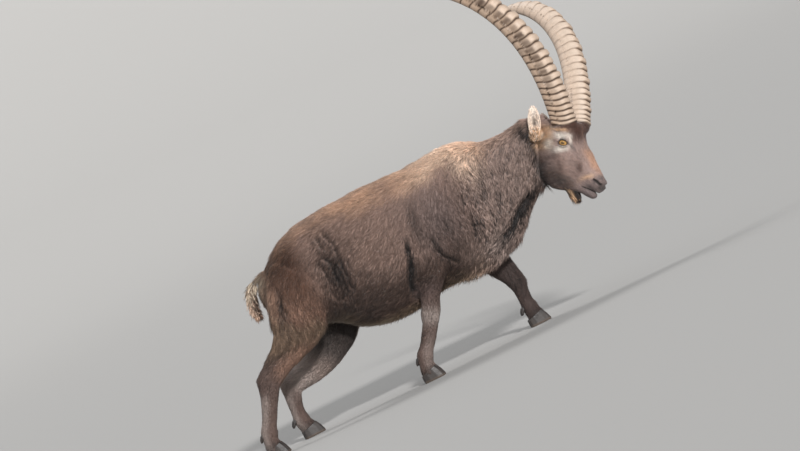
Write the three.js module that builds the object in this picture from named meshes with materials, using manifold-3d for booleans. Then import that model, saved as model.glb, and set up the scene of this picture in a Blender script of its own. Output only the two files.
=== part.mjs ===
// An adult male Alpine ibex at life size, standing still with one fore foot set forward.
// Millimetres. X runs towards the head, Y to the animal's left, Z up, and the floor is at Z = 0.
import * as THREE from "three";
import { mergeVertices } from "three/addons/utils/BufferGeometryUtils.js";
import Module from "manifold-3d";

const wasm = await Module();
wasm.setup();

// Driving sizes of the animal
const GAP = 0.3; // between neighbouring pieces
const TRUNK_START = 236; // rear of the rump, ahead of the toe of the trailing hind foot
const TRUNK_LENGTH = 934; // rump to the root of the neck
const WITHERS = 738; // height of the back over the shoulders
const TRUNK_HALF_WIDTH = 176; // at the widest of the belly
const NECK_HALF_WIDTH = 142; // where it leaves the shoulders
const HEAD_LENGTH = 297; // from between the horns to the front of the lips
const HEAD_HALF_WIDTH = 75; // over the eye sockets
const EYE_RADIUS = 18;
const EAR_HALF_WIDTH = 23;
const HORN_LENGTH = 784; // along the middle of the curve
const HORN_SPACING = 99; // between the middles of the two bases
const HORN_HALF_DEPTH = 45; // front to back at the base, under the knobs
const HORN_HALF_WIDTH = 35;
const HORN_KNOBS = 23;
const CLAW_HALF_LENGTH = 41;
const CLAW_HALF_WIDTH = 15;
const CLAW_CLEFT = 4; // open width between the two claws of a foot

// Where the head is and how it is turned: towards the animal's right, nose a little up
const HEAD_PLACE = [1509, -75, 618];
const HEAD_YAW = -33.4;
const HEAD_PITCH = 26.5;
const HEAD_ROLL = -6;
const MUZZLE_PITCH = 48; // of the muzzle below the plane that the horns stand on

const { degToRad, lerp } = THREE.MathUtils;
const vector = (x, y, z) => new THREE.Vector3(x, y, z);
const SIDEWAYS = vector(0, 1, 0);

// The closed surface of a geometry as a solid
function solidOf(geometry) {
  const bare = geometry.clone();
  bare.deleteAttribute("normal");
  bare.deleteAttribute("uv");
  const merged = mergeVertices(bare, 1e-3);
  return new wasm.Manifold(
    new wasm.Mesh({
      numProp: 3,
      vertProperties: new Float32Array(merged.attributes.position.array),
      triVerts: new Uint32Array(merged.index.array),
    }),
  );
}

function geometryOf(solid) {
  const mesh = solid.getMesh();
  const geometry = new THREE.BufferGeometry();
  geometry.setAttribute("position", new THREE.BufferAttribute(mesh.vertProperties, 3));
  geometry.setIndex(new THREE.BufferAttribute(mesh.triVerts, 1));
  return geometry;
}

const joined = (solids) => solids.reduce((whole, piece) => whole.add(piece));

// The largest closed surface of a solid, which fills sealed hollows and drops scraps
function largest(solid) {
  const parts = solid.decompose();
  return parts.reduce((best, part) => (part.volume() > best.volume() ? part : best));
}

// A smooth value between rows of numbers, for t from 0 to 1
function between(rows, t) {
  const last = rows.length - 1;
  const place = Math.min(t * last, last - 1e-9);
  const first = Math.floor(place);
  const f = place - first;
  const row = (k) => rows[Math.min(Math.max(k, 0), last)];
  const [before, start, end, after] = [-1, 0, 1, 2].map((k) => row(first + k));
  return start.map((b, column) => {
    const [a, c, d] = [before[column], end[column], after[column]];
    const bend = (2 * a - 5 * b + 4 * c - d) * f * f + (3 * b - a - 3 * c + d) * f ** 3;
    return 0.5 * (2 * b + (c - a) * f + bend);
  });
}

// A closed surface over rings with the same number of points, with flat ends
function skin(rings) {
  const sides = rings[0].length;
  const middle = (ring) => ring.reduce((sum, p) => sum.add(p), vector(0, 0, 0)).divideScalar(sides);
  const points = [...rings.flat(), middle(rings[0]), middle(rings.at(-1))];
  const [start, end] = [points.length - 2, points.length - 1];
  const index = [];
  for (let j = 0; j < sides; j += 1) {
    const next = (j + 1) % sides;
    for (let i = 0; i + 1 < rings.length; i += 1) {
      const [a, b] = [i * sides + j, i * sides + next];
      index.push(a, b, b + sides, a, b + sides, a + sides);
    }
    const lastRing = (rings.length - 1) * sides;
    index.push(start, next, j, end, lastRing + j, lastRing + next);
  }
  const geometry = new THREE.BufferGeometry();
  const flat = points.flatMap((p) => [p.x, p.y, p.z]);
  geometry.setAttribute("position", new THREE.Float32BufferAttribute(flat, 3));
  geometry.setIndex(index);
  return geometry;
}

// One ring of a body section: up and down from its widest level, and half as wide as wide
function sectionRing(centre, upwards, across, [up, down, wide], sides, squareness = 2.2) {
  const rounded = (value) => Math.sign(value) * Math.abs(value) ** (2 / squareness);
  return Array.from({ length: sides }, (_, j) => {
    const angle = (2 * Math.PI * j) / sides;
    const height = rounded(Math.sin(angle));
    return centre
      .clone()
      .addScaledVector(across, wide * rounded(Math.cos(angle)))
      .addScaledVector(upwards, height > 0 ? up * height : down * height);
  });
}

// A trunk, neck or head: rows of x, y, top, bottom and half width, and the share of the
// height at which it is widest. Its sections stand across X. Each form swells or hollows
// both flanks round a place in side view: x, z, reach along x, reach along z, how far out.
function lengthwise(rows, { sides, steps, widest, squareness, forms = [] }) {
  const rings = Array.from({ length: steps + 1 }, (_, i) => {
    const [x, y, top, bottom, wide] = between(rows, i / steps);
    const level = lerp(bottom, top, widest);
    const sizes = [top - level, level - bottom, wide];
    const centre = vector(x, y, level);
    const ring = sectionRing(centre, vector(0, 0, 1), SIDEWAYS, sizes, sides, squareness);
    for (const point of ring) {
      for (const [formX, formZ, reachX, reachZ, out] of forms) {
        const near = ((point.x - formX) / reachX) ** 2 + ((point.z - formZ) / reachZ) ** 2;
        point.y += (out * Math.exp(-near) * (point.y - y)) / wide;
      }
    }
    return ring;
  });
  return solidOf(skin(rings));
}

// A leg or tail: rows of x, y, z, half depth and half width, square to its own run
function limb(rows, { sides, steps }) {
  const small = 1e-3;
  const at = (t) => vector(...between(rows, Math.min(Math.max(t, 0), 1)).slice(0, 3));
  const rings = Array.from({ length: steps + 1 }, (_, i) => {
    const t = i / steps;
    const [deep, wide] = between(rows, t).slice(3);
    const along = at(t + small).sub(at(t - small)).normalize();
    const front = along.clone().cross(SIDEWAYS).normalize();
    const across = front.clone().cross(along);
    return sectionRing(at(t), front, across, [deep, deep, wide], sides);
  });
  return solidOf(skin(rings));
}

// A flat, tapered lock of hair: its root is sunk in the flesh, and it droops to its tip
function lock(root, direction, across, { length, width, droop = 0.4 }) {
  const THICKNESS = 0.42; // share of the width
  const SUNK = -0.35; // share of the length
  const along = direction.clone().normalize();
  const flat = across.clone().addScaledVector(along, -across.dot(along)).normalize();
  const outward = flat.clone().cross(along);
  const rings = [SUNK, 0.2, 0.65, 1].map((t) => {
    const place = root.clone().addScaledVector(along, length * t);
    place.z -= droop * length * Math.max(t, 0) ** 2;
    const wide = Math.max((width / 2) * (1 - Math.max(t, 0) ** 1.7), 0.5);
    const corners = [
      [wide, 0],
      [0, -wide * THICKNESS],
      [-wide, 0],
      [0, wide * THICKNESS],
    ];
    return corners.map(([a, b]) =>
      place.clone().addScaledVector(flat, a).addScaledVector(outward, b),
    );
  });
  return solidOf(skin(rings));
}

// Random numbers from 0 to 1 that are the same at each run
function seeded(seed) {
  let state = seed;
  return () => {
    state = (Math.imul(state, 1664525) + 1013904223) >>> 0;
    return state / 2 ** 32;
  };
}

// A prism that takes in one leg where it lies against the trunk: an outline of x, z points
// in side view, from the inner distance outwards, on one side, grown about its middle
function legRoom(outline, inner, side, grown = 0) {
  const REACH = 300;
  const middleX = outline.reduce((sum, p) => sum + p[0], 0) / outline.length;
  const middleZ = outline.reduce((sum, p) => sum + p[1], 0) / outline.length;
  const shape = new THREE.Shape(
    outline.map(([x, z]) => {
      const away = new THREE.Vector2(x - middleX, z - middleZ);
      away.setLength(away.length() + 1.6 * grown);
      return new THREE.Vector2(middleX + away.x, middleZ + away.y);
    }),
  );
  const depth = REACH + grown;
  const prism = new THREE.ExtrudeGeometry(shape, { depth, bevelEnabled: false });
  prism.rotateX(Math.PI / 2);
  prism.translate(0, side > 0 ? inner + REACH : -inner + grown, 0);
  return solidOf(prism);
}

// The part of a solid on the side that a direction points to, past a point
function beyond(solid, point, direction, extra = 0) {
  const normal = direction.clone().normalize();
  return solid.trimByPlane(normal.toArray(), normal.dot(point) + extra);
}

// The two parts of a solid on either side of a cut through a point, with the gap between
function parted(solid, point, direction) {
  return [
    largest(beyond(solid, point, direction.clone().negate(), GAP / 2)),
    largest(beyond(solid, point, direction, GAP / 2)),
  ];
}

// Trunk: share of the length, and top, bottom and half width as shares of their largest
const TRUNK = [
  [-0.012, 0.742, 0.668, 0.14],
  [0, 0.786, 0.625, 0.38],
  [0.025, 0.824, 0.588, 0.58],
  [0.07, 0.868, 0.542, 0.72],
  [0.135, 0.935, 0.495, 0.8],
  [0.22, 0.978, 0.447, 0.85],
  [0.315, 0.995, 0.369, 0.925],
  [0.411, 1, 0.335, 0.99],
  [0.507, 1.004, 0.333, 1],
  [0.604, 0.999, 0.355, 0.96],
  [0.69, 0.993, 0.363, 0.92],
  [0.775, 0.996, 0.355, 0.885],
  [0.861, 1.001, 0.363, 0.83],
  [0.936, 0.986, 0.396, 0.75],
  [1, 0.949, 0.447, 0.63],
].map(([along, top, bottom, wide]) => [
  TRUNK_START + along * TRUNK_LENGTH,
  0,
  top * WITHERS,
  bottom * WITHERS,
  wide * TRUNK_HALF_WIDTH,
]);

// Neck: x, y, top, bottom, and half width as a share of its largest
const NECK = [
  [1040, 0, 722, 300, 1],
  [1110, 0, 722, 290, 0.93],
  [1173, -2, 699, 322, 0.82],
  [1230, -5, 689, 384, 0.72],
  [1282, -8, 687, 424, 0.64],
  [1335, -12, 691, 452, 0.57],
  [1385, -16, 691, 480, 0.5],
  [1436, -24, 678, 510, 0.4],
].map(([x, y, top, bottom, wide]) => [x, y, top, bottom, wide * NECK_HALF_WIDTH]);

// Head, along the muzzle from behind the skull to the lips: shares of the head's length,
// then top, bottom and half width, measured from the line between the horns
const HEAD = [
  [-0.29, -84, -160, 0.5],
  [-0.17, -52, -186, 0.78],
  [-0.05, -16, -202, 0.9],
  [0.07, 14, -212, 0.96],
  [0.17, 28, -217, 0.98],
  [0.27, 10, -217, 0.93],
  [0.385, -1, -215, 0.74],
  [0.51, -2, -203, 0.6],
  [0.64, -9, -172, 0.52],
  [0.77, -17, -126, 0.48],
  [0.87, -26, -95, 0.46],
  [0.935, -38, -82, 0.43],
  [0.98, -54, -76, 0.28],
].map(([along, top, bottom, wide]) => [
  along * HEAD_LENGTH,
  0,
  top,
  bottom,
  wide * HEAD_HALF_WIDTH,
]);
const LOWER_JAW = [
  [0.5, -120, -190, 0.5],
  [0.64, -100, -172, 0.46],
  [0.77, -89, -138, 0.4],
  [0.86, -84, -122, 0.34],
  [0.93, -82, -112, 0.26],
  [0.965, -86, -104, 0.14],
].map(([along, top, bottom, wide]) => [
  along * HEAD_LENGTH,
  0,
  top,
  bottom,
  wide * HEAD_HALF_WIDTH,
]);
// The cheek muscle, the hollow before it and the lips
const HEAD_FORMS = [
  [112, -118, 42, 46, 8],
  [176, -92, 26, 34, -5],
  [262, -60, 22, 24, 4],
];
const TRUNK_FORMS = [
  [915, 520, 95, 140, 12],
  [880, 380, 60, 70, 10],
  [470, 560, 75, 110, -14],
  [395, 655, 50, 50, 10],
  [650, 400, 130, 90, 6],
  [1040, 470, 60, 120, -6],
];

// Legs, from inside the trunk to the coronet over the claws: x, y, z, half depth, half width
const LEGS = {
  fore_right: [
    [925, -88, 560, 50, 30],
    [900, -98, 490, 96, 56],
    [864, -106, 425, 84, 58],
    [822, -112, 360, 60, 48],
    [783, -118, 292, 39, 37],
    [764, -121, 250, 34, 32],
    [748, -123, 218, 34, 32],
    [732, -125, 186, 28, 27],
    [704, -128, 144, 25, 24],
    [682, -130, 116, 25, 24],
    [664, -132, 92, 30, 30],
    [655, -134, 64, 27, 29],
    [655, -135, 38, 32, 32],
    [656, -135, 14, 32, 32],
  ],
  fore_left: [
    [960, 80, 540, 50, 30],
    [980, 88, 470, 95, 54],
    [1000, 92, 400, 84, 54],
    [1018, 93, 335, 66, 46],
    [1048, 94, 262, 50, 38],
    [1070, 93, 208, 38, 33],
    [1079, 92, 178, 34, 31],
    [1081, 91, 150, 28, 27],
    [1081, 90, 118, 25, 24],
    [1081, 89, 96, 25, 24],
    [1083, 88, 76, 30, 30],
    [1085, 88, 56, 28, 29],
    [1089, 88, 38, 32, 32],
    [1090, 88, 14, 32, 32],
  ],
  hind_right: [
    [392, -60, 640, 40, 24],
    [374, -74, 592, 76, 48],
    [350, -92, 528, 100, 62],
    [328, -103, 448, 105, 62],
    [288, -109, 380, 90, 54],
    [240, -112, 336, 64, 44],
    [194, -113, 308, 50, 36],
    [155, -113, 284, 45, 30],
    [120, -112, 256, 43, 27],
    [95, -111, 207, 33, 25],
    [67, -110, 149, 26, 23],
    [50, -110, 118, 25, 23],
    [37, -110, 92, 30, 29],
    [30, -110, 64, 27, 29],
    [31, -110, 38, 32, 32],
    [32, -110, 14, 32, 32],
  ],
  hind_left: [
    [392, 60, 640, 40, 24],
    [394, 74, 585, 78, 48],
    [406, 92, 505, 104, 62],
    [424, 101, 412, 107, 62],
    [410, 106, 326, 94, 54],
    [356, 108, 262, 66, 44],
    [290, 110, 228, 54, 36],
    [226, 112, 213, 46, 30],
    [184, 114, 208, 42, 27],
    [170, 118, 170, 33, 25],
    [161, 122, 132, 26, 23],
    [158, 125, 100, 25, 23],
    [157, 128, 78, 30, 29],
    [161, 129, 56, 28, 29],
    [167, 130, 38, 32, 32],
    [168, 130, 14, 32, 32],
  ],
};

// Where each foot stands: middle of the claws, and how far it is turned outwards in degrees
const FEET = {
  fore_right: { x: 662, y: -135, turn: -8 },
  fore_left: { x: 1094, y: 88, turn: 6 },
  hind_right: { x: 40, y: -110, turn: -6 },
  hind_left: { x: 178, y: 130, turn: 8 },
};

// Cuts across each leg: the joint that parts it, and the side-view outline of the room
// that takes the leg out of the trunk, with the room's inner distance from the middle
const FORE_ROOM = [
  [-300, -500],
  [-80, -20],
  [-45, 25],
  [60, 25],
  [95, -40],
  [150, -500],
];
const HIND_ROOM = [
  [-520, -700],
  [-190, 30],
  [-60, 60],
  [30, 20],
  [75, -130],
  [75, -700],
];
const ROOMS = {
  fore_right: { at: [820, 350], outline: FORE_ROOM, inner: 58 },
  fore_left: { at: [1020, 330], outline: FORE_ROOM, inner: 40 },
  hind_right: { at: [400, 560], outline: HIND_ROOM, inner: 45 },
  hind_left: { at: [440, 560], outline: HIND_ROOM, inner: 45 },
};
const JOINTS = {
  fore_right: [["fore_arm", "fore_cannon", [748, -123, 214]]],
  fore_left: [["fore_arm", "fore_cannon", [1079, 92, 174]]],
  hind_right: [
    ["hind_thigh", "hind_shank", [278, -110, 366]],
    ["hind_shank", "hind_cannon", [112, -112, 246]],
  ],
  hind_left: [
    ["hind_thigh", "hind_shank", [382, 106, 312]],
    ["hind_shank", "hind_cannon", [180, 115, 208]],
  ],
};

const COAT_BROWN = 0x6e5648;
const LEG_BROWN = 0x54443a;
const HORN_TAN = 0xa08d74;
const CLAW_GREY = 0x3d3733;
const EAR_TAN = 0x9a8672;
const EYE_AMBER = 0xb4813a;

const ibex = new THREE.Group();

// A named mesh with a finish of its own, in the frame of the group that holds it
function addMesh(name, solid, color, roughness, parent = ibex) {
  const material = new THREE.MeshStandardMaterial({ color, roughness, metalness: 0 });
  const mesh = new THREE.Mesh(geometryOf(solid), material);
  mesh.name = name;
  parent.add(mesh);
  return mesh;
}

// The head's own frame, whose X and Z axes lie in the plane between the horns
const headGroup = new THREE.Group();
headGroup.position.set(...HEAD_PLACE);
headGroup.rotation.set(
  degToRad(HEAD_ROLL),
  degToRad(HEAD_PITCH),
  degToRad(HEAD_YAW),
  "YZX",
);
headGroup.updateMatrix();
const headMatrix = headGroup.matrix.clone();
const muzzleMatrix = headMatrix
  .clone()
  .multiply(new THREE.Matrix4().makeRotationY(degToRad(MUZZLE_PITCH)));
const fromMuzzle = (x, y, z) => vector(x, y, z).applyMatrix4(muzzleMatrix);
const placed = (solid, matrix) => solid.transform(matrix.elements);

// Claws: a sole flat on the floor, walls that lean in to the coronet
function claw(foot, sideOfFoot) {
  const CLAW_SIDES = 10;
  const rings = [
    { z: 0, x: 0, long: 0.97, wide: 0.92 },
    { z: 6, x: 0, long: 1, wide: 1 },
    { z: 30, x: -5, long: 0.9, wide: 1 },
    { z: 58, x: -14, long: 0.72, wide: 0.96 },
  ].map(({ z, x, long, wide }) => {
    const across = CLAW_HALF_WIDTH * wide;
    const y = sideOfFoot * (CLAW_CLEFT / 2 + CLAW_HALF_WIDTH);
    const sizes = [across, across, CLAW_HALF_LENGTH * long];
    return sectionRing(vector(x, y, z), SIDEWAYS, vector(1, 0, 0), sizes, CLAW_SIDES, 2.5);
  });
  const turned = new THREE.Matrix4().makeRotationZ(degToRad(foot.turn));
  turned.setPosition(foot.x, foot.y, 0);
  return placed(solidOf(skin(rings)), turned);
}

// The slanting plane of the coronet over a foot's claws
function coronet(foot) {
  const CORONET_HEIGHT = 40;
  const CORONET_SLANT = 18;
  const slant = degToRad(CORONET_SLANT);
  const heading = degToRad(foot.turn);
  const normal = vector(
    -Math.sin(slant) * Math.cos(heading),
    -Math.sin(slant) * Math.sin(heading),
    Math.cos(slant),
  );
  return { point: vector(foot.x - 8, foot.y, CORONET_HEIGHT), normal };
}

// A small claw behind the fetlock
function dewclaw(leg, sideOfFoot) {
  const foot = FEET[leg];
  const [x, y, z] = LEGS[leg].at(-4);
  const rows = [
    [-14, 10, 7, 8, 7],
    [-29, 12, -3, 9, 8],
    [-37, 13, -14, 6, 6],
    [-40, 13, -22, 2.5, 3],
  ].map(([back, out, up, deep, wide]) => [back, sideOfFoot * out, up, deep, wide]);
  const turned = new THREE.Matrix4().makeRotationZ(degToRad(foot.turn));
  turned.setPosition(x, y, z);
  return placed(limb(rows, { sides: 6, steps: 3 }), turned);
}

// Where each ear is rooted and where its tip points, in the head's frame: the right one is
// pricked with its hollow to the side, the left one is swept back
const EARS = {
  right: { root: [-95, -74, -60], tip: [-91, -112, 40], facing: [0.5, -1, 0.1] },
  left: { root: [-101, 73, -60], tip: [-166, 72, 30], facing: [0.2, 1, 0.3] },
};

// One ear: a leaf with a hollow in the face that looks outwards
function ear({ root, tip, facing }) {
  const [start, end] = [root, tip].map((p) => vector(...p).applyMatrix4(headMatrix));
  const length = end.distanceTo(start);
  const leaf = (deep, wide, lift, shorter) => {
    const rows = [
      [-0.12, 0.5, 1.3],
      [0.05, 0.6, 1.3],
      [0.22, 0.84, 1.2],
      [0.45, 1, 1],
      [0.7, 0.8, 0.75],
      [0.9, 0.42, 0.5],
      [1, 0.1, 0.2],
    ].map(([along, half, thick]) => [
      along * length * shorter,
      0,
      lift,
      Math.max(thick * deep, 1),
      half * wide,
    ]);
    return limb(rows, { sides: 10, steps: 8 });
  };
  const cup = leaf(11, EAR_HALF_WIDTH, 0, 1).subtract(leaf(9, EAR_HALF_WIDTH - 5, 8, 0.94));
  const along = end.clone().sub(start).normalize();
  const outwards = vector(...facing).transformDirection(headMatrix);
  const across = outwards.clone().cross(along).normalize();
  const open = along.clone().cross(across);
  return placed(cup, new THREE.Matrix4().makeBasis(along, across, open).setPosition(start));
}

// A horn's middle line from its base: it rises with a lean outwards, then sweeps back
const HORN_LEAN = degToRad(18.3);
const HORN_START = -5; // a little inside the burr
function hornLine(side, steps) {
  const START_ANGLE = degToRad(12.4);
  const START_BEND = 0.75e-3; // radians a millimetre
  const BEND_GROWTH = 3.43e-6; // radians a square millimetre
  const FLARE = degToRad(4.2);
  const FLARE_GROWTH = degToRad(15.5) / 1000;
  const SUNK = 26; // inside the head
  const up = vector(0, side * Math.sin(HORN_LEAN), Math.cos(HORN_LEAN));
  const axesAt = (s) => {
    const along = Math.max(s, 0);
    const angle = START_ANGLE + START_BEND * along + (BEND_GROWTH * along ** 2) / 2;
    const flare = FLARE + FLARE_GROWTH * along;
    const back = vector(-Math.cos(flare), side * Math.sin(flare), 0);
    const tangent = up.clone().multiplyScalar(Math.cos(angle));
    tangent.addScaledVector(back, Math.sin(angle)).normalize();
    const front = up.clone().multiplyScalar(Math.sin(angle));
    front.addScaledVector(back, -Math.cos(angle));
    const across = front.clone().cross(tangent).normalize();
    return { tangent, across, front: tangent.clone().cross(across) };
  };
  const line = [];
  const place = vector(0, (side * HORN_SPACING) / 2, 0);
  const length = HORN_LENGTH + SUNK;
  place.addScaledVector(axesAt(0).tangent, -SUNK);
  for (let i = 0; i <= steps; i += 1) {
    const s = (length * i) / steps - SUNK;
    line.push({ s, place: place.clone(), ...axesAt(s) });
    place.addScaledVector(axesAt(s + length / steps / 2).tangent, length / steps);
  }
  return line;
}

// Distance of each knob from the base: close together low down, wider apart above
function knobDistance(k) {
  const FIRST = 12; // clear of the burr
  const share = k / HORN_KNOBS;
  return FIRST + (HORN_LENGTH - FIRST) * (0.54 * share + 0.43 * share ** 2);
}

// How far a horn's front stands out at a distance along it, for its knobs
function knobHeight(s) {
  const FULL = 9;
  for (let k = 0; k < HORN_KNOBS; k += 1) {
    const [low, high] = [knobDistance(k), knobDistance(k + 1)];
    if (s >= low && s < high) {
      const share = (s - low) / (high - low);
      const grown = Math.min(1, 0.45 + (high - low) / 40);
      return FULL * grown * Math.min(1, Math.max(0, Math.sin(Math.PI * share) * 1.5 - 0.15));
    }
  }
  return 0;
}

function horn(side) {
  const HORN_SIDES = 10;
  const FINE_STEPS = 800;
  const line = hornLine(side, FINE_STEPS);
  const stops = [HORN_START];
  for (let k = 0; k < HORN_KNOBS; k += 1) {
    const [low, high] = [knobDistance(k), knobDistance(k + 1)];
    stops.push(...[0, 0.34, 0.72].map((share) => lerp(low, high, share)));
  }
  stops.push(knobDistance(HORN_KNOBS), HORN_LENGTH - 8, HORN_LENGTH);
  const rings = stops.map((s) => {
    const found = line.reduce((a, b) => (Math.abs(b.s - s) < Math.abs(a.s - s) ? b : a));
    const share = Math.max(s, 0) / HORN_LENGTH;
    const taper = Math.max(0.06, 1 - 0.13 * share - 0.81 * share ** 5);
    const [deep, wide] = [HORN_HALF_DEPTH * taper, HORN_HALF_WIDTH * taper];
    const ring = sectionRing(
      found.place,
      found.front,
      found.across,
      [deep, deep, wide],
      HORN_SIDES,
      2.6,
    );
    return ring.map((p) => {
      const out = p.clone().sub(found.place);
      const forward = Math.max(0, out.dot(found.front) / deep);
      return p.addScaledVector(found.front, knobHeight(s) * taper * forward ** 0.7);
    });
  });
  return placed(solidOf(skin(rings)), headMatrix);
}

// The whole of the flesh, before it is parted into head, neck, trunk, tail and legs
const trunk = lengthwise(TRUNK, {
  sides: 18,
  steps: 24,
  widest: 0.52,
  squareness: 2.25,
  forms: TRUNK_FORMS,
});
const neck = lengthwise(NECK, { sides: 18, steps: 12, widest: 0.5, squareness: 2.1 });

// The raised rim of the lids round one eye, longest along the line between horn and ear
const EYE_PLACE = [75, 58, -47];
const EYE_FACING = [0.35, 1, 0.16];
const LID_SLANT = degToRad(42); // of the lids' length to the muzzle
const eyePlace = (side) => fromMuzzle(EYE_PLACE[0], side * EYE_PLACE[1], EYE_PLACE[2]);
function lids(side) {
  const rim = new THREE.TorusGeometry(EYE_RADIUS - 2, 5, 5, 14).scale(1.25, 0.84, 1);
  const facing = vector(EYE_FACING[0], side * EYE_FACING[1], EYE_FACING[2]).normalize();
  const level = vector(Math.cos(LID_SLANT), 0, Math.sin(LID_SLANT));
  const upright = facing.clone().cross(level).normalize();
  const length = upright.clone().cross(facing);
  const place = vector(EYE_PLACE[0], side * EYE_PLACE[1], EYE_PLACE[2]);
  const matrix = new THREE.Matrix4().makeBasis(length, upright, facing);
  matrix.setPosition(place.addScaledVector(facing, 10.5));
  return placed(solidOf(rim), muzzleMatrix.clone().multiply(matrix));
}

// A slit between the lips, from the corner of the mouth to the front, and a nostril
function mouthSlit() {
  const HALF = 60;
  const outline = [
    [240, -99],
    [262, -89.5],
    [320, -73],
    [320, -82],
    [262, -93],
    [240, -101],
  ].map(([x, z]) => new THREE.Vector2(x, z));
  const slit = new THREE.ExtrudeGeometry(new THREE.Shape(outline), {
    depth: 2 * HALF,
    bevelEnabled: false,
  });
  slit.rotateX(Math.PI / 2).translate(0, HALF, 0);
  return placed(solidOf(slit), muzzleMatrix);
}

function nostril(side) {
  const hollow = new THREE.SphereGeometry(1, 10, 6).scale(12, 8, 5);
  hollow.rotateZ(side * -0.6).rotateY(0.5).translate(274, side * 25, -44);
  return placed(solidOf(hollow), muzzleMatrix);
}

// The hair-covered burr that a horn stands in
function burr(side) {
  const line = hornLine(side, 80).filter((stop) => stop.s > -20 && stop.s < 10);
  const rings = line.map(({ place, front, across, s }) => {
    const grown = s > -4 ? lerp(7, 3, (s + 4) / 12) : lerp(7, -14, (-4 - s) / 16);
    const sizes = [HORN_HALF_DEPTH + grown, HORN_HALF_DEPTH + grown, HORN_HALF_WIDTH + grown];
    return sectionRing(place, front, across, sizes, 12, 2.4);
  });
  return placed(solidOf(skin(rings)), headMatrix);
}

// The short beard, in rows under the chin from the back to the front
function beard() {
  const ROWS = 5;
  const random = seeded(11);
  const down = vector(0, 0, -1);
  const locks = [];
  for (let i = 0; i < ROWS; i += 1) {
    const across = i % 2 ? 3 : 4;
    for (let j = 0; j < across; j += 1) {
      const share = i / (ROWS - 1);
      const lateral = ((j + 0.5) / across - 0.5) * lerp(42, 30, share);
      const root = fromMuzzle(lerp(190, 240, share), lateral, lerp(-163, -128, share));
      const back = vector(-0.35 + 0.3 * (random() - 0.5), lateral / 90, 0);
      const direction = down.clone().add(back.transformDirection(headMatrix).multiplyScalar(0.45));
      const length = lerp(24, 34, random());
      const turn = lerp(-0.9, 0.9, random());
      const sideways = vector(Math.cos(turn), Math.sin(turn), 0).transformDirection(headMatrix);
      locks.push(lock(root, direction, sideways, { length, width: 27, droop: 0.1 }));
    }
  }
  return locks;
}

const skull = joined([
  lengthwise(HEAD, {
    sides: 18,
    steps: 18,
    widest: 0.64,
    squareness: 2.1,
    forms: HEAD_FORMS,
  }),
  lengthwise(LOWER_JAW, { sides: 12, steps: 7, widest: 0.6, squareness: 2.1 }),
]);
const head = joined([
  placed(skull, muzzleMatrix),
  burr(1),
  burr(-1),
  lids(1),
  lids(-1),
]);

const TAIL = [
  [330, 0, 600, 40, 34],
  [285, 0, 606, 30, 26],
  [250, 0, 607, 22, 20],
  [222, 0, 596, 19, 17],
  [200, 0, 572, 22, 17],
  [188, 0, 540, 22, 15],
  [184, 0, 510, 15, 10],
  [184, 0, 488, 4, 4],
];
const tailFlesh = limb(TAIL, { sides: 10, steps: 11 });

// The tuft of the tail, in rings of locks that hang from its outer half to past its tip
function tailTuft() {
  const RINGS = 5;
  const random = seeded(23);
  const locks = [];
  for (let i = 0; i < RINGS; i += 1) {
    const t = lerp(0.48, 0.95, i / (RINGS - 1));
    const [x, y, z, deep, wide] = between(TAIL, t);
    const [nextX, , nextZ] = between(TAIL, t + 0.04);
    const along = vector(nextX - x, 0, nextZ - z).normalize();
    const count = i % 2 ? 3 : 4;
    for (let j = 0; j < count; j += 1) {
      const angle = (2 * Math.PI * (j + 0.5 * (i % 2))) / count + 0.3 * (random() - 0.5);
      const back = along.clone().cross(SIDEWAYS).normalize();
      const out = back.multiplyScalar(Math.cos(angle)).addScaledVector(SIDEWAYS, Math.sin(angle));
      const root = vector(x, y, z).addScaledVector(out, 0.6 * (deep + wide) / 2);
      const direction = along.clone().addScaledVector(out, 0.3);
      const length = lerp(40, 54, random());
      const across = out.clone().cross(along);
      locks.push(lock(root, direction, across, { length, width: 24, droop: 0.12 }));
    }
  }
  return locks;
}

// Hanging locks along the lower edge of a body surface: rows for the edge, the share of
// them between which the locks stand, how many, and how long
function fringe(rows, [from, to], count, { spread, length, width, seed }) {
  const random = seeded(seed);
  const locks = [];
  for (let i = 0; i < count; i += 1) {
    const t = lerp(from, to, (i + 0.5) / count);
    const [x, y, , bottom] = between(rows, t);
    const [nextX, , , nextBottom] = between(rows, Math.min(t + 0.01, 1));
    const run = vector(nextX - x, 0, nextBottom - bottom).normalize();
    const lateral = spread * ((i % 2) - 0.5 + 0.3 * (random() - 0.5));
    const root = vector(x, y + lateral, bottom + 9);
    const direction = vector(-0.45, lateral / spread / 4, -0.8);
    const size = { length: length * lerp(0.8, 1.15, random()), width, droop: 0.2 };
    const across = run.clone().addScaledVector(SIDEWAYS, 0.7 * (random() - 0.5));
    locks.push(lock(root, direction, across, size));
  }
  return locks;
}

// Parts each leg from the trunk and at its joints, and sets its claws
let body = joined([trunk, neck, head, tailFlesh]);
const legSolids = {};
for (const [leg, rows] of Object.entries(LEGS)) {
  const side = leg.endsWith("left") ? 1 : -1;
  const { at, outline, inner } = ROOMS[leg];
  const roomOutline = outline.map(([x, z]) => [at[0] + x, at[1] + z]);
  const whole = limb(rows, { sides: 12, steps: 21 });
  const flesh = joined([body, whole]);
  legSolids[leg] = largest(flesh.intersect(legRoom(roomOutline, inner, side)));
  body = largest(flesh.subtract(legRoom(roomOutline, inner, side, GAP)));
}

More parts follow.
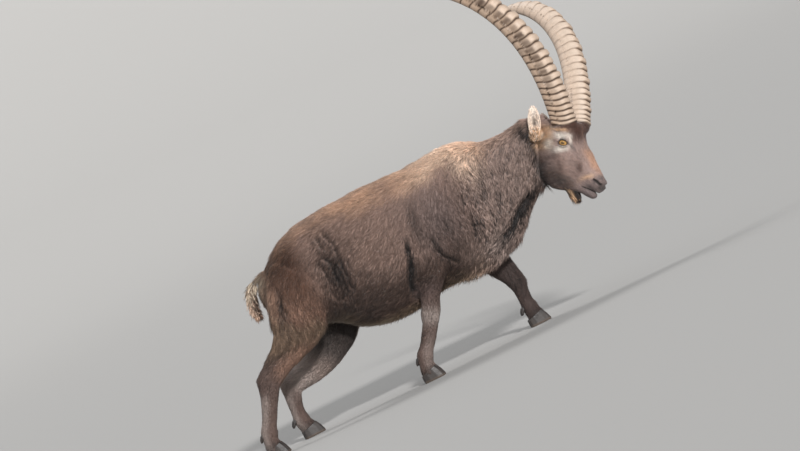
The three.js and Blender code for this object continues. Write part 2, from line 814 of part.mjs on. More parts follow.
for (const [leg, solid] of Object.entries(legSolids)) {
  const sideName = leg.split("_")[1];
  const foot = FEET[leg];
  const { point, normal } = coronet(foot);
  let rest = largest(beyond(solid, point, normal, GAP));
  for (const sideOfFoot of [1, -1]) {
    const outer = sideOfFoot === (sideName === "left" ? 1 : -1);
    const name = `${leg}_${outer ? "outer" : "inner"}`;
    const spur = dewclaw(leg, sideOfFoot);
    const spurRoom = spur.subtract(rest);
    addMesh(`dewclaw_${name}`, largest(spurRoom.translate([-GAP, 0, -GAP])), CLAW_GREY, 0.6);
    const solidClaw = claw(foot, sideOfFoot);
    const cut = beyond(solidClaw, point, normal.clone().negate());
    addMesh(`hoof_${name}`, largest(cut), CLAW_GREY, 0.5);
  }
  const rows = LEGS[leg];
  for (const [upper, lower, cutPlace] of JOINTS[leg]) {
    const place = vector(...cutPlace);
    const near = rows.findIndex(([, , z]) => z < place.z);
    const [above, below] = [rows[near - 1], rows[near]];
    const down = vector(below[0] - above[0], below[1] - above[1], below[2] - above[2]);
    const [top, bottom] = parted(rest, place, down);
    addMesh(`${upper}_${sideName}`, top, COAT_BROWN, 0.95);
    rest = bottom;
    if (lower.endsWith("cannon")) addMesh(`${lower}_${sideName}`, bottom, LEG_BROWN, 0.95);
  }
}

// Parts the head, neck and tail from the trunk
const NECK_ROOT = vector(1120, 0, 520);
const TOWARDS_HEAD = vector(1, -0.05, 0.2);
const [trunkAndTail, headAndNeck] = parted(body, NECK_ROOT, TOWARDS_HEAD);
const [neckOnly, headOnly] = parted(
  headAndNeck,
  vector(1346, -45, 575),
  vector(0.93, -0.33, -0.16),
);
const TAIL_ROOT = vector(221, 0, 600);
const FORWARDS = vector(1, 0, 0);
const [tailOnly, trunkOnly] = parted(trunkAndTail, TAIL_ROOT, FORWARDS);

// Fringes under the chest and along the front of the neck
const brisketLocks = fringe(NECK, [0.2, 0.62], 11, {
  spread: 40,
  length: 30,
  width: 40,
  seed: 5,
});
const bellyLocks = fringe(TRUNK, [0.55, 0.93], 15, {
  spread: 48,
  length: 26,
  width: 44,
  seed: 7,
});
const withLocks = (solid, locks, root, direction) =>
  largest(beyond(joined([solid, ...locks]), root, direction, GAP / 2));
const neckWhole = withLocks(neckOnly, brisketLocks, NECK_ROOT, TOWARDS_HEAD);
const trunkWhole = withLocks(trunkOnly, bellyLocks, NECK_ROOT, TOWARDS_HEAD.clone().negate());
const tailWhole = withLocks(tailOnly, tailTuft(), TAIL_ROOT, FORWARDS.clone().negate());
addMesh("torso", trunkWhole, COAT_BROWN, 0.95);
addMesh("neck", neckWhole, COAT_BROWN, 0.95);
addMesh("tail", tailWhole, COAT_BROWN, 0.95);

// Head with its beard, mouth, nostrils and eye sockets, then the eyes, horns and ears
let headSolid = joined([headOnly, ...beard()]).subtract(mouthSlit());
for (const side of [1, -1]) {
  const sideName = side > 0 ? "left" : "right";
  const ball = (radius) =>
    solidOf(new THREE.SphereGeometry(radius, 14, 8).translate(...eyePlace(side).toArray()));
  headSolid = headSolid.subtract(nostril(side)).subtract(ball(EYE_RADIUS + GAP));
  addMesh(`eye_${sideName}`, ball(EYE_RADIUS), EYE_AMBER, 0.15);
}
headSolid = largest(headSolid);
for (const side of [1, -1]) {
  const sideName = side > 0 ? "left" : "right";
  const seated = (piece) => largest(piece.subtract(headSolid).subtract(neckWhole));
  addMesh(`horn_${sideName}`, seated(horn(side)).translate([0, 0, GAP]), HORN_TAN, 0.7);
  const [x, y, z] = EARS[sideName].facing.map((value) => value * GAP);
  const lifted = seated(ear(EARS[sideName])).translate([x, y, z + GAP]);
  addMesh(`ear_${sideName}`, lifted, EAR_TAN, 0.9);
}
addMesh("head", headSolid, COAT_BROWN, 0.95);

// The origin is on the floor, under the middle of the model
const box = new THREE.Box3().setFromObject(ibex);
const middle = box.getCenter(vector(0, 0, 0));
ibex.position.set(-middle.x, -middle.y, -box.min.z);

export default ibex;
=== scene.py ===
"""Alpine ibex: the skin, coat, head, horns and claws of the still model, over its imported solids."""

import math

import bpy
import numpy as np
from mathutils import Matrix, Vector

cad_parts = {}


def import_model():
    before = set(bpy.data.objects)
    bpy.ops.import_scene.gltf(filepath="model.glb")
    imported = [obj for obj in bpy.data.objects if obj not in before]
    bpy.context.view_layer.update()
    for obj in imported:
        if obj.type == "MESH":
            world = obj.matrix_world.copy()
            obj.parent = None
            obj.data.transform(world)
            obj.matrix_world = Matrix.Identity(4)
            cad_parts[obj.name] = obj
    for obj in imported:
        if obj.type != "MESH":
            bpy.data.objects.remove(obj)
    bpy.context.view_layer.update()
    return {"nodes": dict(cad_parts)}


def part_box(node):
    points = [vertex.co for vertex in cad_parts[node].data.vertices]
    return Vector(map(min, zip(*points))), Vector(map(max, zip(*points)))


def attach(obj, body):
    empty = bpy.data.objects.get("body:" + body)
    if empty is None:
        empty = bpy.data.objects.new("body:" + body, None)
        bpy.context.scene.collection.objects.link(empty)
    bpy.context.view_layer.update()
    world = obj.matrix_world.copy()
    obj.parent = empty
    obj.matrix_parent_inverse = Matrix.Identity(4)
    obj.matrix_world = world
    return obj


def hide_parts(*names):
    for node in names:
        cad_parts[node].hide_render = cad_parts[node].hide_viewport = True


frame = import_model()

bl_info = {
    "name": "Alpine Ibex Model",
    "version": (1, 0, 0),
    "blender": (4, 5, 0),
    "location": "View3D > Sidebar > Ibex",
    "description": "Skin, coat, head, horns and claws of a life-size alpine ibex",
    "category": "Add Mesh",
}

# Millimetres in the part's own layout: X to the head, Y to the animal's left, Z up, floor at 0
HEAD_PLACE = np.array([1509.0, -75.0, 618.0])
HEAD_YAW, HEAD_PITCH, HEAD_ROLL = (math.radians(a) for a in (-33.4, 26.5, -6.0))
MUZZLE_PITCH = math.radians(48.0)
HEAD_LENGTH = 297.0
HEAD_HALF_WIDTH = 75.0
EYE_PLACE = np.array([75.0, 58.0, -47.0])  # along the muzzle, out to the side, up
EYE_FACING = np.array([0.35, 1.0, 0.16])
EYE_RADIUS = 18.0
LID_SLANT = math.radians(42.0)
LID_HALF = 17.5
LID_REACH = 34.0
WITHERS = 738.0
TRUNK_START = 236.0
TRUNK_LENGTH = 934.0
TRUNK_HALF_WIDTH = 176.0
NECK_HALF_WIDTH = 142.0
HORN_LENGTH = 784.0
HORN_SPACING = 99.0
HORN_HALF_DEPTH = 45.0
HORN_HALF_WIDTH = 35.0
HORN_KNOBS = 23
CAMERA_ROLL = math.radians(26.5)
CAMERA_DROP = math.radians(1.5)
CAMERA_AIM = np.array([792.0, 0.0, 549.0])
PICTURE_WIDTH = 2.895  # metres across the picture at the animal

SIDEWAYS = np.array([0.0, 1.0, 0.0])
SIDES = ((1, "left"), (-1, "right"))

# Trunk: share of the length, then top, bottom and half width as shares of their largest
TRUNK_SHARES = [
    (-0.012, 0.742, 0.668, 0.14), (0, 0.786, 0.625, 0.38), (0.025, 0.824, 0.588, 0.58),
    (0.07, 0.868, 0.542, 0.72), (0.135, 0.935, 0.495, 0.8), (0.22, 0.978, 0.447, 0.85),
    (0.315, 0.995, 0.369, 0.925), (0.411, 1, 0.335, 0.99), (0.507, 1.004, 0.333, 1),
    (0.604, 0.999, 0.355, 0.96), (0.69, 0.993, 0.363, 0.92), (0.775, 0.996, 0.355, 0.885),
    (0.861, 1.001, 0.363, 0.83), (0.936, 0.986, 0.396, 0.75), (1, 0.949, 0.447, 0.63),
]
TRUNK = [
    (TRUNK_START + a * TRUNK_LENGTH, 0, t * WITHERS, b * WITHERS, w * TRUNK_HALF_WIDTH)
    for a, t, b, w in TRUNK_SHARES
]
NECK = [
    (x, y, top, bottom, wide * NECK_HALF_WIDTH)
    for x, y, top, bottom, wide in (
        (1040, 0, 722, 300, 1), (1110, 0, 722, 290, 0.93), (1173, -2, 699, 322, 0.82),
        (1230, -5, 689, 384, 0.72), (1282, -8, 687, 424, 0.64), (1335, -12, 691, 452, 0.57),
        (1385, -16, 691, 480, 0.5), (1436, -24, 678, 510, 0.4),
    )
]
HEAD_SHARES = [
    (-0.29, -84, -160, 0.5), (-0.17, -52, -186, 0.78), (-0.05, -16, -202, 0.9),
    (0.07, 14, -212, 0.96), (0.17, 28, -217, 0.98), (0.27, 10, -217, 0.93),
    (0.385, -1, -215, 0.74), (0.51, -2, -203, 0.6), (0.64, -9, -172, 0.52),
    (0.77, -15, -126, 0.46), (0.87, -20, -92, 0.43), (0.92, -23, -83, 0.4),
    (0.945, -34, -79, 0.36), (0.965, -47, -75, 0.28), (0.978, -58, -71, 0.16),
]
LOWER_JAW_SHARES = [
    (0.5, -120, -190, 0.5), (0.64, -100, -172, 0.46), (0.77, -89, -138, 0.4),
    (0.86, -84, -122, 0.34), (0.93, -80, -114, 0.28), (0.962, -79, -109, 0.23),
    (0.982, -84, -101, 0.13),
]
HEAD, LOWER_JAW = (
    [(a * HEAD_LENGTH, 0, top, bottom, w * HEAD_HALF_WIDTH) for a, top, bottom, w in rows]
    for rows in (HEAD_SHARES, LOWER_JAW_SHARES)
)
# Swellings and hollows of both flanks: x, z, reach along x, reach along z, how far out
HEAD_FORMS = [(112, -118, 42, 46, 8), (176, -92, 26, 34, -5), (262, -60, 22, 24, 4)]
TRUNK_FORMS = [
    (915, 520, 95, 140, 12), (880, 380, 60, 70, 10), (470, 560, 75, 110, -14),
    (395, 655, 50, 50, 10), (650, 400, 130, 90, 6), (1040, 470, 60, 120, -6),
]
# Legs, from inside the trunk to the coronet: x, y, z, half depth, half width
LEGS = {
    "fore_right": [
        (925, -88, 560, 50, 30), (900, -98, 490, 96, 56), (864, -106, 425, 84, 58),
        (822, -112, 360, 60, 48), (783, -118, 292, 39, 37), (764, -121, 250, 34, 32),
        (748, -123, 218, 34, 32), (732, -125, 186, 28, 27), (704, -128, 144, 25, 24),
        (682, -130, 116, 25, 24), (664, -132, 92, 30, 30), (655, -134, 64, 27, 29),
        (655, -135, 38, 32, 32), (656, -135, 14, 32, 32),
    ],
    "fore_left": [
        (960, 80, 540, 50, 30), (980, 88, 470, 95, 54), (1000, 92, 400, 84, 54),
        (1018, 93, 335, 66, 46), (1048, 94, 262, 50, 38), (1070, 93, 208, 38, 33),
        (1079, 92, 178, 34, 31), (1081, 91, 150, 28, 27), (1081, 90, 118, 25, 24),
        (1081, 89, 96, 25, 24), (1083, 88, 76, 30, 30), (1085, 88, 56, 28, 29),
        (1089, 88, 38, 32, 32), (1090, 88, 14, 32, 32),
    ],
    "hind_right": [
        (392, -60, 640, 40, 24), (374, -74, 592, 76, 48), (350, -92, 528, 100, 62),
        (328, -103, 448, 105, 62), (288, -109, 380, 90, 54), (240, -112, 336, 64, 44),
        (194, -113, 308, 50, 36), (155, -113, 284, 45, 30), (120, -112, 256, 43, 27),
        (95, -111, 207, 33, 25), (67, -110, 149, 26, 23), (50, -110, 118, 25, 23),
        (37, -110, 92, 30, 29), (30, -110, 64, 27, 29), (31, -110, 38, 32, 32),
        (32, -110, 14, 32, 32),
    ],
    "hind_left": [
        (392, 60, 640, 40, 24), (394, 74, 585, 78, 48), (406, 92, 505, 104, 62),
        (424, 101, 412, 107, 62), (410, 106, 326, 94, 54), (356, 108, 262, 66, 44),
        (290, 110, 228, 54, 36), (226, 112, 213, 46, 30), (184, 114, 208, 42, 27),
        (170, 118, 170, 33, 25), (161, 122, 132, 26, 23), (158, 125, 100, 25, 23),
        (157, 128, 78, 30, 29), (161, 129, 56, 28, 29), (167, 130, 38, 32, 32),
        (168, 130, 14, 32, 32),
    ],
}
TAIL = [
    (330, 0, 600, 40, 34), (285, 0, 606, 30, 26), (250, 0, 607, 22, 20), (222, 0, 596, 19, 17),
    (200, 0, 572, 22, 17), (188, 0, 540, 22, 15), (184, 0, 510, 15, 10), (184, 0, 488, 4, 4),
]
EARS = {
    "right": {"root": (-95, -74, -60), "tip": (-91, -112, 40), "facing": (0.5, -1, 0.1)},
    "left": {"root": (-101, 73, -60), "tip": (-166, 72, 30), "facing": (0.2, 1, 0.3)},
}


# Numbers along rows, bumps and noise
def between(rows, t):
    """Smooth values between rows of numbers, for each t from 0 to 1."""
    rows = np.asarray(rows, float)
    last = len(rows) - 1
    place = np.minimum(np.clip(np.atleast_1d(t), 0, 1) * last, last - 1e-9)
    first = np.floor(place).astype(int)
    f = (place - first)[:, None]
    a, b, c, d = (rows[np.clip(first + k, 0, last)] for k in (-1, 0, 1, 2))
    bend = (2 * a - 5 * b + 4 * c - d) * f**2 + (3 * b - a - 3 * c + d) * f**3
    return 0.5 * (2 * b + (c - a) * f + bend)


def unit(vectors):
    return vectors / np.maximum(np.linalg.norm(vectors, axis=-1, keepdims=True), 1e-9)


def columns(*values):
    """Rows of numbers from one array for each column."""
    return np.stack(values, axis=1)


def square_to(vectors, way):
    """Vectors of length 1 that stand square to another, from ones that need not."""
    return unit(vectors - (vectors * way).sum(axis=1, keepdims=True) * way)


def ramp(values, low, high):
    """0 below low, 1 above high and smooth between, also where low is the larger."""
    f = np.clip((values - low) / (high - low), 0, 1)
    return f * f * (3 - 2 * f)


def fall(values, low, high):
    return 1 - ramp(values, low, high)


def bump(points, centre, reach):
    """1 at a centre, falling off over a reach on each axis."""
    return np.exp(-(((points - np.asarray(centre)) / np.asarray(reach)) ** 2).sum(axis=-1))


def bell(values, width):
    """1 at 0, falling off on both sides over a width."""
    return np.exp(-((values / width) ** 2))


def noise(points, size, seed=0):
    """Smooth noise from 0 to 1 with lumps of a size in millimetres."""
    scaled = points / size + 37.7 * seed
    cell = np.floor(scaled).astype(np.int64)
    f = scaled - cell
    f = f * f * (3 - 2 * f)
    total = np.zeros(len(points))
    for corner in range(8):
        offset = np.array([corner & 1, (corner >> 1) & 1, (corner >> 2) & 1])
        x, y, z = (cell + offset).T
        mixed = (x * 73856093) ^ (y * 19349663) ^ (z * 83492791) ^ (seed * 2654435761)
        mixed = (mixed ^ (mixed >> 13)) * 1274126177
        value = ((mixed ^ (mixed >> 16)) & 0xFFFF) / 65535.0
        weight = np.where(offset, f, 1 - f).prod(axis=1)
        total += value * weight
    return total


def streaks(points, along, size, seed):
    """Noise drawn out along the hair, from 0 to 1."""
    total = sum(noise(points + along * (size * step), size, seed) for step in range(-3, 4))
    return np.clip((total / 7 - 0.5) * 2.4 + 0.5, 0, 1)


def stroke(flat, line):
    """Distance of 2D points to a bent line, and how far along it the nearest point is."""
    line = np.asarray(line, float)
    spans = np.linalg.norm(np.diff(line, axis=0), axis=1)
    reached = np.concatenate([[0], np.cumsum(spans)])
    best = np.full(len(flat), np.inf)
    along = np.zeros(len(flat))
    for k, span in enumerate(spans):
        step = (line[k + 1] - line[k]) / span
        away = flat - line[k]
        run = np.clip(away @ step, 0, span)
        distance = np.linalg.norm(away - run[:, None] * step, axis=1)
        nearer = distance < best
        best = np.where(nearer, distance, best)
        along = np.where(nearer, (reached[k] + run) / reached[-1], along)
    return best, along


# Frames: the head's, the muzzle's, the eyes' and the photo's plane
def turn(angle, axis):
    return np.array(Matrix.Rotation(angle, 3, axis))


HEAD_TURN = turn(HEAD_PITCH, "Y") @ turn(HEAD_YAW, "Z") @ turn(HEAD_ROLL, "X")
MUZZLE_TURN = HEAD_TURN @ turn(MUZZLE_PITCH, "Y")
LEVEL_RIGHT = np.array([1.0, 0.0, 0.0])
LEVEL_UP = np.array([0.0, math.sin(CAMERA_DROP), math.cos(CAMERA_DROP)])
VIEW_RIGHT = math.cos(CAMERA_ROLL) * LEVEL_RIGHT - math.sin(CAMERA_ROLL) * LEVEL_UP
VIEW_UP = math.sin(CAMERA_ROLL) * LEVEL_RIGHT + math.cos(CAMERA_ROLL) * LEVEL_UP
VIEW_FORWARD = np.array([0.0, math.cos(CAMERA_DROP), -math.sin(CAMERA_DROP)])


def from_muzzle(points):
    return HEAD_PLACE + np.asarray(points, float) @ MUZZLE_TURN.T


def to_muzzle(points):
    return (points - HEAD_PLACE) @ MUZZLE_TURN


def from_head(points):
    return HEAD_PLACE + np.asarray(points, float) @ HEAD_TURN.T


def one_sided(points):
    """Points with those of the right side mirrored to the left."""
    return np.abs(points) * (0, 1, 0) + points * (1, 0, 1)


def mirrored(point, side):
    return np.array([point[0], side * point[1], point[2]])


def eye_axes(side):
    """Middle of an eyeball, and the axes along its lids, across them and outwards."""
    facing = unit(mirrored(EYE_FACING, side))
    level = np.array([math.cos(LID_SLANT), 0, math.sin(LID_SLANT)])
    upright = unit(np.cross(level, facing) * side)
    length = np.cross(facing, upright) * side
    middle = from_muzzle(mirrored(EYE_PLACE, side))
    return middle, *(MUZZLE_TURN @ axis for axis in (length, upright, facing))


def on_eye(points, side):
    """Places in millimetres along the lids of an eye, across them and out of it."""
    middle, *axes = eye_axes(side)
    return tuple((points - middle) @ axis for axis in axes)


def box_middle(node):
    low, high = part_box(node)
    return (np.array(low) + np.array(high)) * 500.0


# The part was moved so that its origin is under its middle; an eye tells by how much
SHIFT = box_middle("eye_right") - eye_axes(-1)[0]


def face_plane(points):
    """Right and up from the near eye in the photo's plane, with the far side mirrored."""
    local = to_muzzle(points)
    local[:, 1] = -np.abs(local[:, 1])
    away = from_muzzle(local) - eye_axes(-1)[0]
    return columns(away @ VIEW_RIGHT, away @ VIEW_UP)


# Colours
def tone(colour):
    """A 0 to 255 screen colour as linear light."""
    share = np.asarray(colour, float) / 255
    light = np.where(share <= 0.04045, share / 12.92, ((share + 0.055) / 1.055) ** 2.4)
    return tuple(light.tolist())


def layered(base, layers):
    """A colour, or one for each point, with further ones laid over it by masks from 0 to 1."""
    base = np.asarray(base)
    for colour, mask in layers:
        base = base + (np.asarray(colour) - base) * np.clip(mask, 0, 1)[:, None]
    return base


# Settings that a user would change
def size_setting(name, description, default):
    return bpy.props.FloatProperty(
        name=name, description=description, default=default, unit="LENGTH", precision=4
    )


def colour_setting(name, description, *default):
    return bpy.props.FloatVectorProperty(
        name=name, description=description, default=tone(default), subtype="COLOR", min=0, max=1
    )


class IbexCoat(bpy.types.PropertyGroup):
    # Back and withers: paler hair along the top of the trunk, with painted sunlight on it
    back: colour_setting("Back", "Sunlit tan along the back", 204, 164, 136)
    withers: colour_setting("Withers", "Bleached hair over the shoulders", 246, 214, 188)
    flank: colour_setting("Flank", "Grey-brown of the barrel", 156, 128, 115)
    # Lower side: dark brown hair of the lower flank, with painted shade under the trunk and neck and
    # in the flank's fold
    shade: colour_setting("Lower side", "Dark brown of the lower flank", 76, 56, 46)
    # Folds: near-black laid as painted shade in the skin's folds, the partings between the locks, on
    # the inner faces of the legs and in the seam behind the cheek; it also darkens the legs just
    # above the hooves
    fold: colour_setting("Folds", "Nearly black hair inside the folds", 24, 15, 12)
    belly: colour_setting("Belly", "Dusky underside", 160, 136, 112)
    groin: colour_setting("Groin", "Whitish hair of the groin", 178, 164, 144)
    haunch: colour_setting("Haunch", "Warm brown of the haunches", 88, 57, 40)
    # Thigh: also laid as painted light on the lower rear of the thigh
    thigh: colour_setting("Thigh", "Lighter brown of the thighs", 166, 128, 108)
    leg: colour_setting("Legs", "Grey-brown of the legs", 104, 84, 78)
    # Leg streaks: pale hair at the brisket and behind the hind cannons, also painted highlight on the
    # near knee and painted sunlight on the far hind shank
    leg_pale_and_highlight: colour_setting("Leg streaks", "Pale streaks of knee and cannon", 186, 170, 162)
    shoulder: colour_setting("Shoulder", "Dark grey-brown of the shoulder", 124, 107, 103)
    neck: colour_setting("Neck", "Grey-brown of the neck", 152, 130, 120)
    rump: colour_setting("Rump", "Pale tan beside the tail", 206, 166, 142)
    tail_pale: colour_setting("Tail", "Cream tuft of the tail", 196, 170, 150)
    tail_dark: colour_setting("Tail underside", "Dark hair of the tail", 52, 38, 30)
    body_length: size_setting("Body hair", "Length of the hair on the trunk", 0.024)
    neck_length: size_setting("Neck hair", "Length of the hair on the neck", 0.031)
    spacing: size_setting("Tuft spacing", "Distance between tufts on the trunk", 0.0033)


class IbexFace(bpy.types.PropertyGroup):
    cheek: colour_setting("Cheek", "Pinkish grey of the cheek", 172, 146, 136)
    jaw: colour_setting("Jaw", "Dark brown of the jaw", 42, 27, 20)
    forehead: colour_setting("Forehead", "Dark brown between eye and horn", 70, 40, 27)
    # Bridge: orange-tan hair of the nose, with painted sunlight along its top
    bridge: colour_setting("Bridge", "Orange-tan of the nose", 204, 158, 130)
    white: colour_setting("Eye patches", "White above and below the eye", 240, 230, 218)
    tan: colour_setting("Ear patch", "Tan from the eye to the ear", 236, 192, 150)
    muzzle: colour_setting("Muzzle", "Grey of the muzzle and lips", 120, 105, 102)
    # Bare skin: also laid as painted shadow behind the near ear and round the foot of each horn
    dark: colour_setting("Bare skin", "Lids, nostrils and the line of the mouth", 26, 20, 19)
    beard: colour_setting("Beard", "Dark brown of the beard", 44, 32, 26)
    iris: colour_setting("Iris", "Amber of the eye", 212, 162, 92)
    hair_length: size_setting("Face hair", "Length of the hair on the face", 0.0095)


class IbexHorns(bpy.types.PropertyGroup):
    horn: colour_setting("Horn", "Tan of the horns", 188, 160, 136)
    pale: colour_setting("Worn horn", "Worn knobs and inner faces", 208, 188, 170)
    groove: colour_setting("Grooves", "Dark lines between the growths", 78, 58, 44)
    claw: colour_setting("Claws", "Dark grey of the claws", 50, 45, 43)
    knob: size_setting("Knob height", "How far the knobs stand out", 0.009)


class IbexStudio(bpy.types.PropertyGroup):
    floor: colour_setting("Floor", "Pale studio floor", 168, 166, 163)
    distance: size_setting("Camera distance", "From the camera to the animal", 24.0)
    key: bpy.props.FloatProperty(
        name="Key light", description="Strength of the main lamp", default=3.8, min=0.0
    )


def look(group):
    """The scene's settings for a group of pieces."""
    return getattr(bpy.context.scene, f"ibex_{group}")


# Meshes
def world(points):
    return (np.asarray(points) + SHIFT) / 1000


def placed(name, data):
    """A new object in the scene, at the origin."""
    made = bpy.data.objects.new(name, data)
    bpy.context.scene.collection.objects.link(made)
    return made


def add_mesh(name, points, faces):
    """A new object from points in millimetres and an array or list of faces."""
    mesh = bpy.data.meshes.new(name)
    corners = np.concatenate([np.asarray(f, np.int32).ravel() for f in faces])
    sizes = np.concatenate([np.full(len(f), np.asarray(f).shape[1], np.int32) for f in faces])
    mesh.vertices.add(len(points))
    mesh.vertices.foreach_set("co", world(points).astype(np.float32).ravel())
    mesh.loops.add(len(corners))
    mesh.loops.foreach_set("vertex_index", corners)
    mesh.polygons.add(len(sizes))
    starts = np.concatenate([[0], np.cumsum(sizes)[:-1]]).astype(np.int32)
    mesh.polygons.foreach_set("loop_start", starts)
    mesh.update(calc_edges=True)
    return placed(name, mesh)


def read(items, key, width, kind=np.float32):
    """The numbers of a mesh's points, corners or triangles, a row for each."""
    found = np.empty(len(items) * width, kind)
    items.foreach_get(key, found)
    return found.reshape(-1, width)


def points_of(made):
    """A mesh's points in the part's millimetres."""
    return read(made.data.vertices, "co", 3).astype(float) * 1000 - SHIFT


def normals_of(made):
    return read(made.data.vertex_normals, "vector", 3).astype(float)


def move_points(made, points):
    made.data.vertices.foreach_set("co", world(points).astype(np.float32).ravel())
    made.data.update()


def select_only(*objects):
    bpy.ops.object.select_all(action="DESELECT")
    for made in objects:
        made.select_set(True)
    bpy.context.view_layer.objects.active = objects[0]


def apply_modifier(made, kind, **values):
    select_only(made)
    modifier = made.modifiers.new(kind.title(), kind)
    for key, value in values.items():
        setattr(modifier, key, value)
    bpy.ops.object.modifier_apply(modifier=modifier.name)


def smooth_shaded(made):
    made.data.polygons.foreach_set("use_smooth", np.ones(len(made.data.polygons), bool))
    made.data.update()


def edit(made, chosen, *steps):
    """Runs edit mode steps on the points of a mesh that are chosen, True for all of them."""
    select_only(made)
    bpy.ops.object.mode_set(mode="EDIT")
    bpy.ops.mesh.select_mode(type="VERT")
    bpy.ops.mesh.select_all(action="DESELECT")
    bpy.ops.object.mode_set(mode="OBJECT")
    made.data.vertices.foreach_set("select", np.full(len(made.data.vertices), chosen))
    bpy.ops.object.mode_set(mode="EDIT")
    for step in steps:
        step()
    bpy.ops.object.mode_set(mode="OBJECT")


def face_outwards():
    bpy.ops.mesh.normals_make_consistent(inside=False)


def merge_within(gap):
    """An edit mode step that merges points closer than a gap in metres."""
    return lambda: bpy.ops.mesh.remove_doubles(threshold=gap)


def named_active(name):
    made = bpy.context.active_object
    made.name = name
    made.data.name = name
    return made


def joined(name, objects):
    select_only(*objects)
    bpy.ops.object.join()
    return named_active(name)


def grid(name, columns, rows):
    """A flat grid, and the share of each of its points along its two sides."""
    bpy.ops.object.select_all(action="DESELECT")
    bpy.ops.mesh.primitive_grid_add(x_subdivisions=columns, y_subdivisions=rows, size=1)
    made = named_active(name)
    u, v, _ = read(made.data.vertices, "co", 3).T + 0.5
    return made, u, v


def give_values(made, name, values):
    """A number or colour for each point of a mesh, or one number for all."""
    flat = np.asarray(values, np.float32)
    if flat.ndim < 2:
        layer = made.data.attributes.new(name, "FLOAT", "POINT")
        layer.data.foreach_set("value", np.full(len(layer.data), flat))
        return
    layer = made.data.attributes.new(name, "FLOAT_COLOR", "POINT")
    full = np.concatenate([flat, np.ones((len(flat), 1), np.float32)], axis=1)
    layer.data.foreach_set("color", full.ravel())


def give_map(made, name, places):
    """A UV map from a place for each point of a mesh."""
    corners = read(made.data.loops, "vertex_index", 1, np.int32).ravel()
    layer = made.data.uv_layers.new(name=name)
    layer.data.foreach_set("uv", places[corners].astype(np.float32).ravel())


# Rings of a body section, and closed surfaces over them
def section(sides, squareness):
    angle = 2 * np.pi * np.arange(sides) / sides
    rounded = lambda value: np.sign(value) * np.abs(value) ** (2 / squareness)
    return rounded(np.cos(angle)), rounded(np.sin(angle))


def lengthwise(rows, widest, squareness, forms=(), depths=((0, 0),), sides=72, steps=140):
    """A trunk, neck or head whose sections stand across X, less the depth of its coat."""
    x, y, top, bottom, wide = between(rows, np.linspace(0, 1, steps + 1)).T
    inset = np.interp(x, *zip(*depths))
    level = bottom + (top - bottom) * widest
    side, height = section(sides, squareness)
    up, down, out = top - level - inset, level - bottom - inset, wide - inset
    rings = np.empty((steps + 1, sides, 3))
    rings[..., 0] = x[:, None]
    rings[..., 1] = y[:, None] + out[:, None] * side
    rings[..., 2] = level[:, None] + np.where(height > 0, up[:, None], down[:, None]) * height
    for form_x, form_z, reach_x, reach_z, swell in forms:
        near = bump(rings[..., [0, 2]], (form_x, form_z), (reach_x, reach_z))
        rings[..., 1] += swell * near * (rings[..., 1] - y[:, None]) / wide[:, None]
    return rings


def limb(rows, inset=0.0, sides=40, steps=120):
    """A leg or tail, whose sections stand square to its own run."""
    t = np.linspace(0, 1, steps + 1)
    values = between(rows, t)
    ahead, behind = between(rows, t + 1e-3), between(rows, t - 1e-3)
    along = unit((ahead - behind)[:, :3])
    front = unit(np.cross(along, SIDEWAYS))
    across = np.cross(front, along)
    side, height = section(sides, 2.2)
    deep, wide = (np.maximum(values[:, k] - inset, 1.0) for k in (3, 4))
    rings = values[:, None, :3] + across[:, None] * (wide[:, None] * side)[..., None]
    return rings + front[:, None] * (deep[:, None] * height)[..., None]


def over_rings(name, rings):
    """A closed mesh over rings of points, with a fan at each end."""
    count, sides = rings.shape[:2]
    points = np.concatenate([rings.reshape(-1, 3), rings[[0, -1]].mean(axis=1)])
    i, j = np.meshgrid(np.arange(count - 1), np.arange(sides), indexing="ij")
    a, b = i * sides + j, i * sides + (j + 1) % sides
    walls = np.stack([a, b, b + sides, a + sides], axis=-1).reshape(-1, 4)
    j = np.arange(sides)
    start, end, last = len(points) - 2, len(points) - 1, (count - 1) * sides
    first_fan = columns(np.full(sides, start), (j + 1) % sides, j)
    last_fan = columns(np.full(sides, end), last + j, last + (j + 1) % sides)
    return add_mesh(name, points, [walls, first_fan, last_fan])


# Skin
TRUNK_DEPTH = [(0, 8)]
NECK_DEPTH = [(1040, 10), (1220, 10), (1360, 3)]
HEAD_DEPTH = [(0, 3.5)]
LEG_DEPTH = 0.5
TAIL_DEPTH = 11.0


def body_shell():
    """Trunk, neck, legs and tail as one closed surface under the coat."""
    parts = [
        over_rings("trunk", lengthwise(TRUNK, 0.52, 2.25, TRUNK_FORMS, TRUNK_DEPTH)),
        over_rings("neck", lengthwise(NECK, 0.5, 2.1, (), NECK_DEPTH)),
        over_rings("tail", limb(TAIL, TAIL_DEPTH)),
    ]
    parts += [over_rings(leg, limb(rows, LEG_DEPTH)) for leg, rows in LEGS.items()]
    body = joined("ibex_skin", parts)
    apply_modifier(body, "REMESH", mode="VOXEL", voxel_size=0.007)
    apply_modifier(body, "SMOOTH", factor=0.5, iterations=8)
    return body


def head_shell():
    """Head and lower jaw, fine enough for lids, lips and nostrils."""
    skull = lengthwise(HEAD, 0.64, 2.1, HEAD_FORMS, HEAD_DEPTH)
    jaw = lengthwise(LOWER_JAW, 0.6, 2.1, (), HEAD_DEPTH)
    parts = [over_rings("skull", from_muzzle(skull)), over_rings("jaw", from_muzzle(jaw))]
    for side, _ in SIDES:
        burr = horn_rings(side, [-72, -54, -38, -26, -21], [-20, -11, -4, 0, -1.5])
        parts.append(over_rings("burr", burr))
        parts.append(over_rings("ear_root", ear_root(side)))
    head = joined("head_shell", parts)
    apply_modifier(head, "REMESH", mode="VOXEL", voxel_size=0.0028)
    apply_modifier(head, "SMOOTH", factor=0.5, iterations=11)
    return head


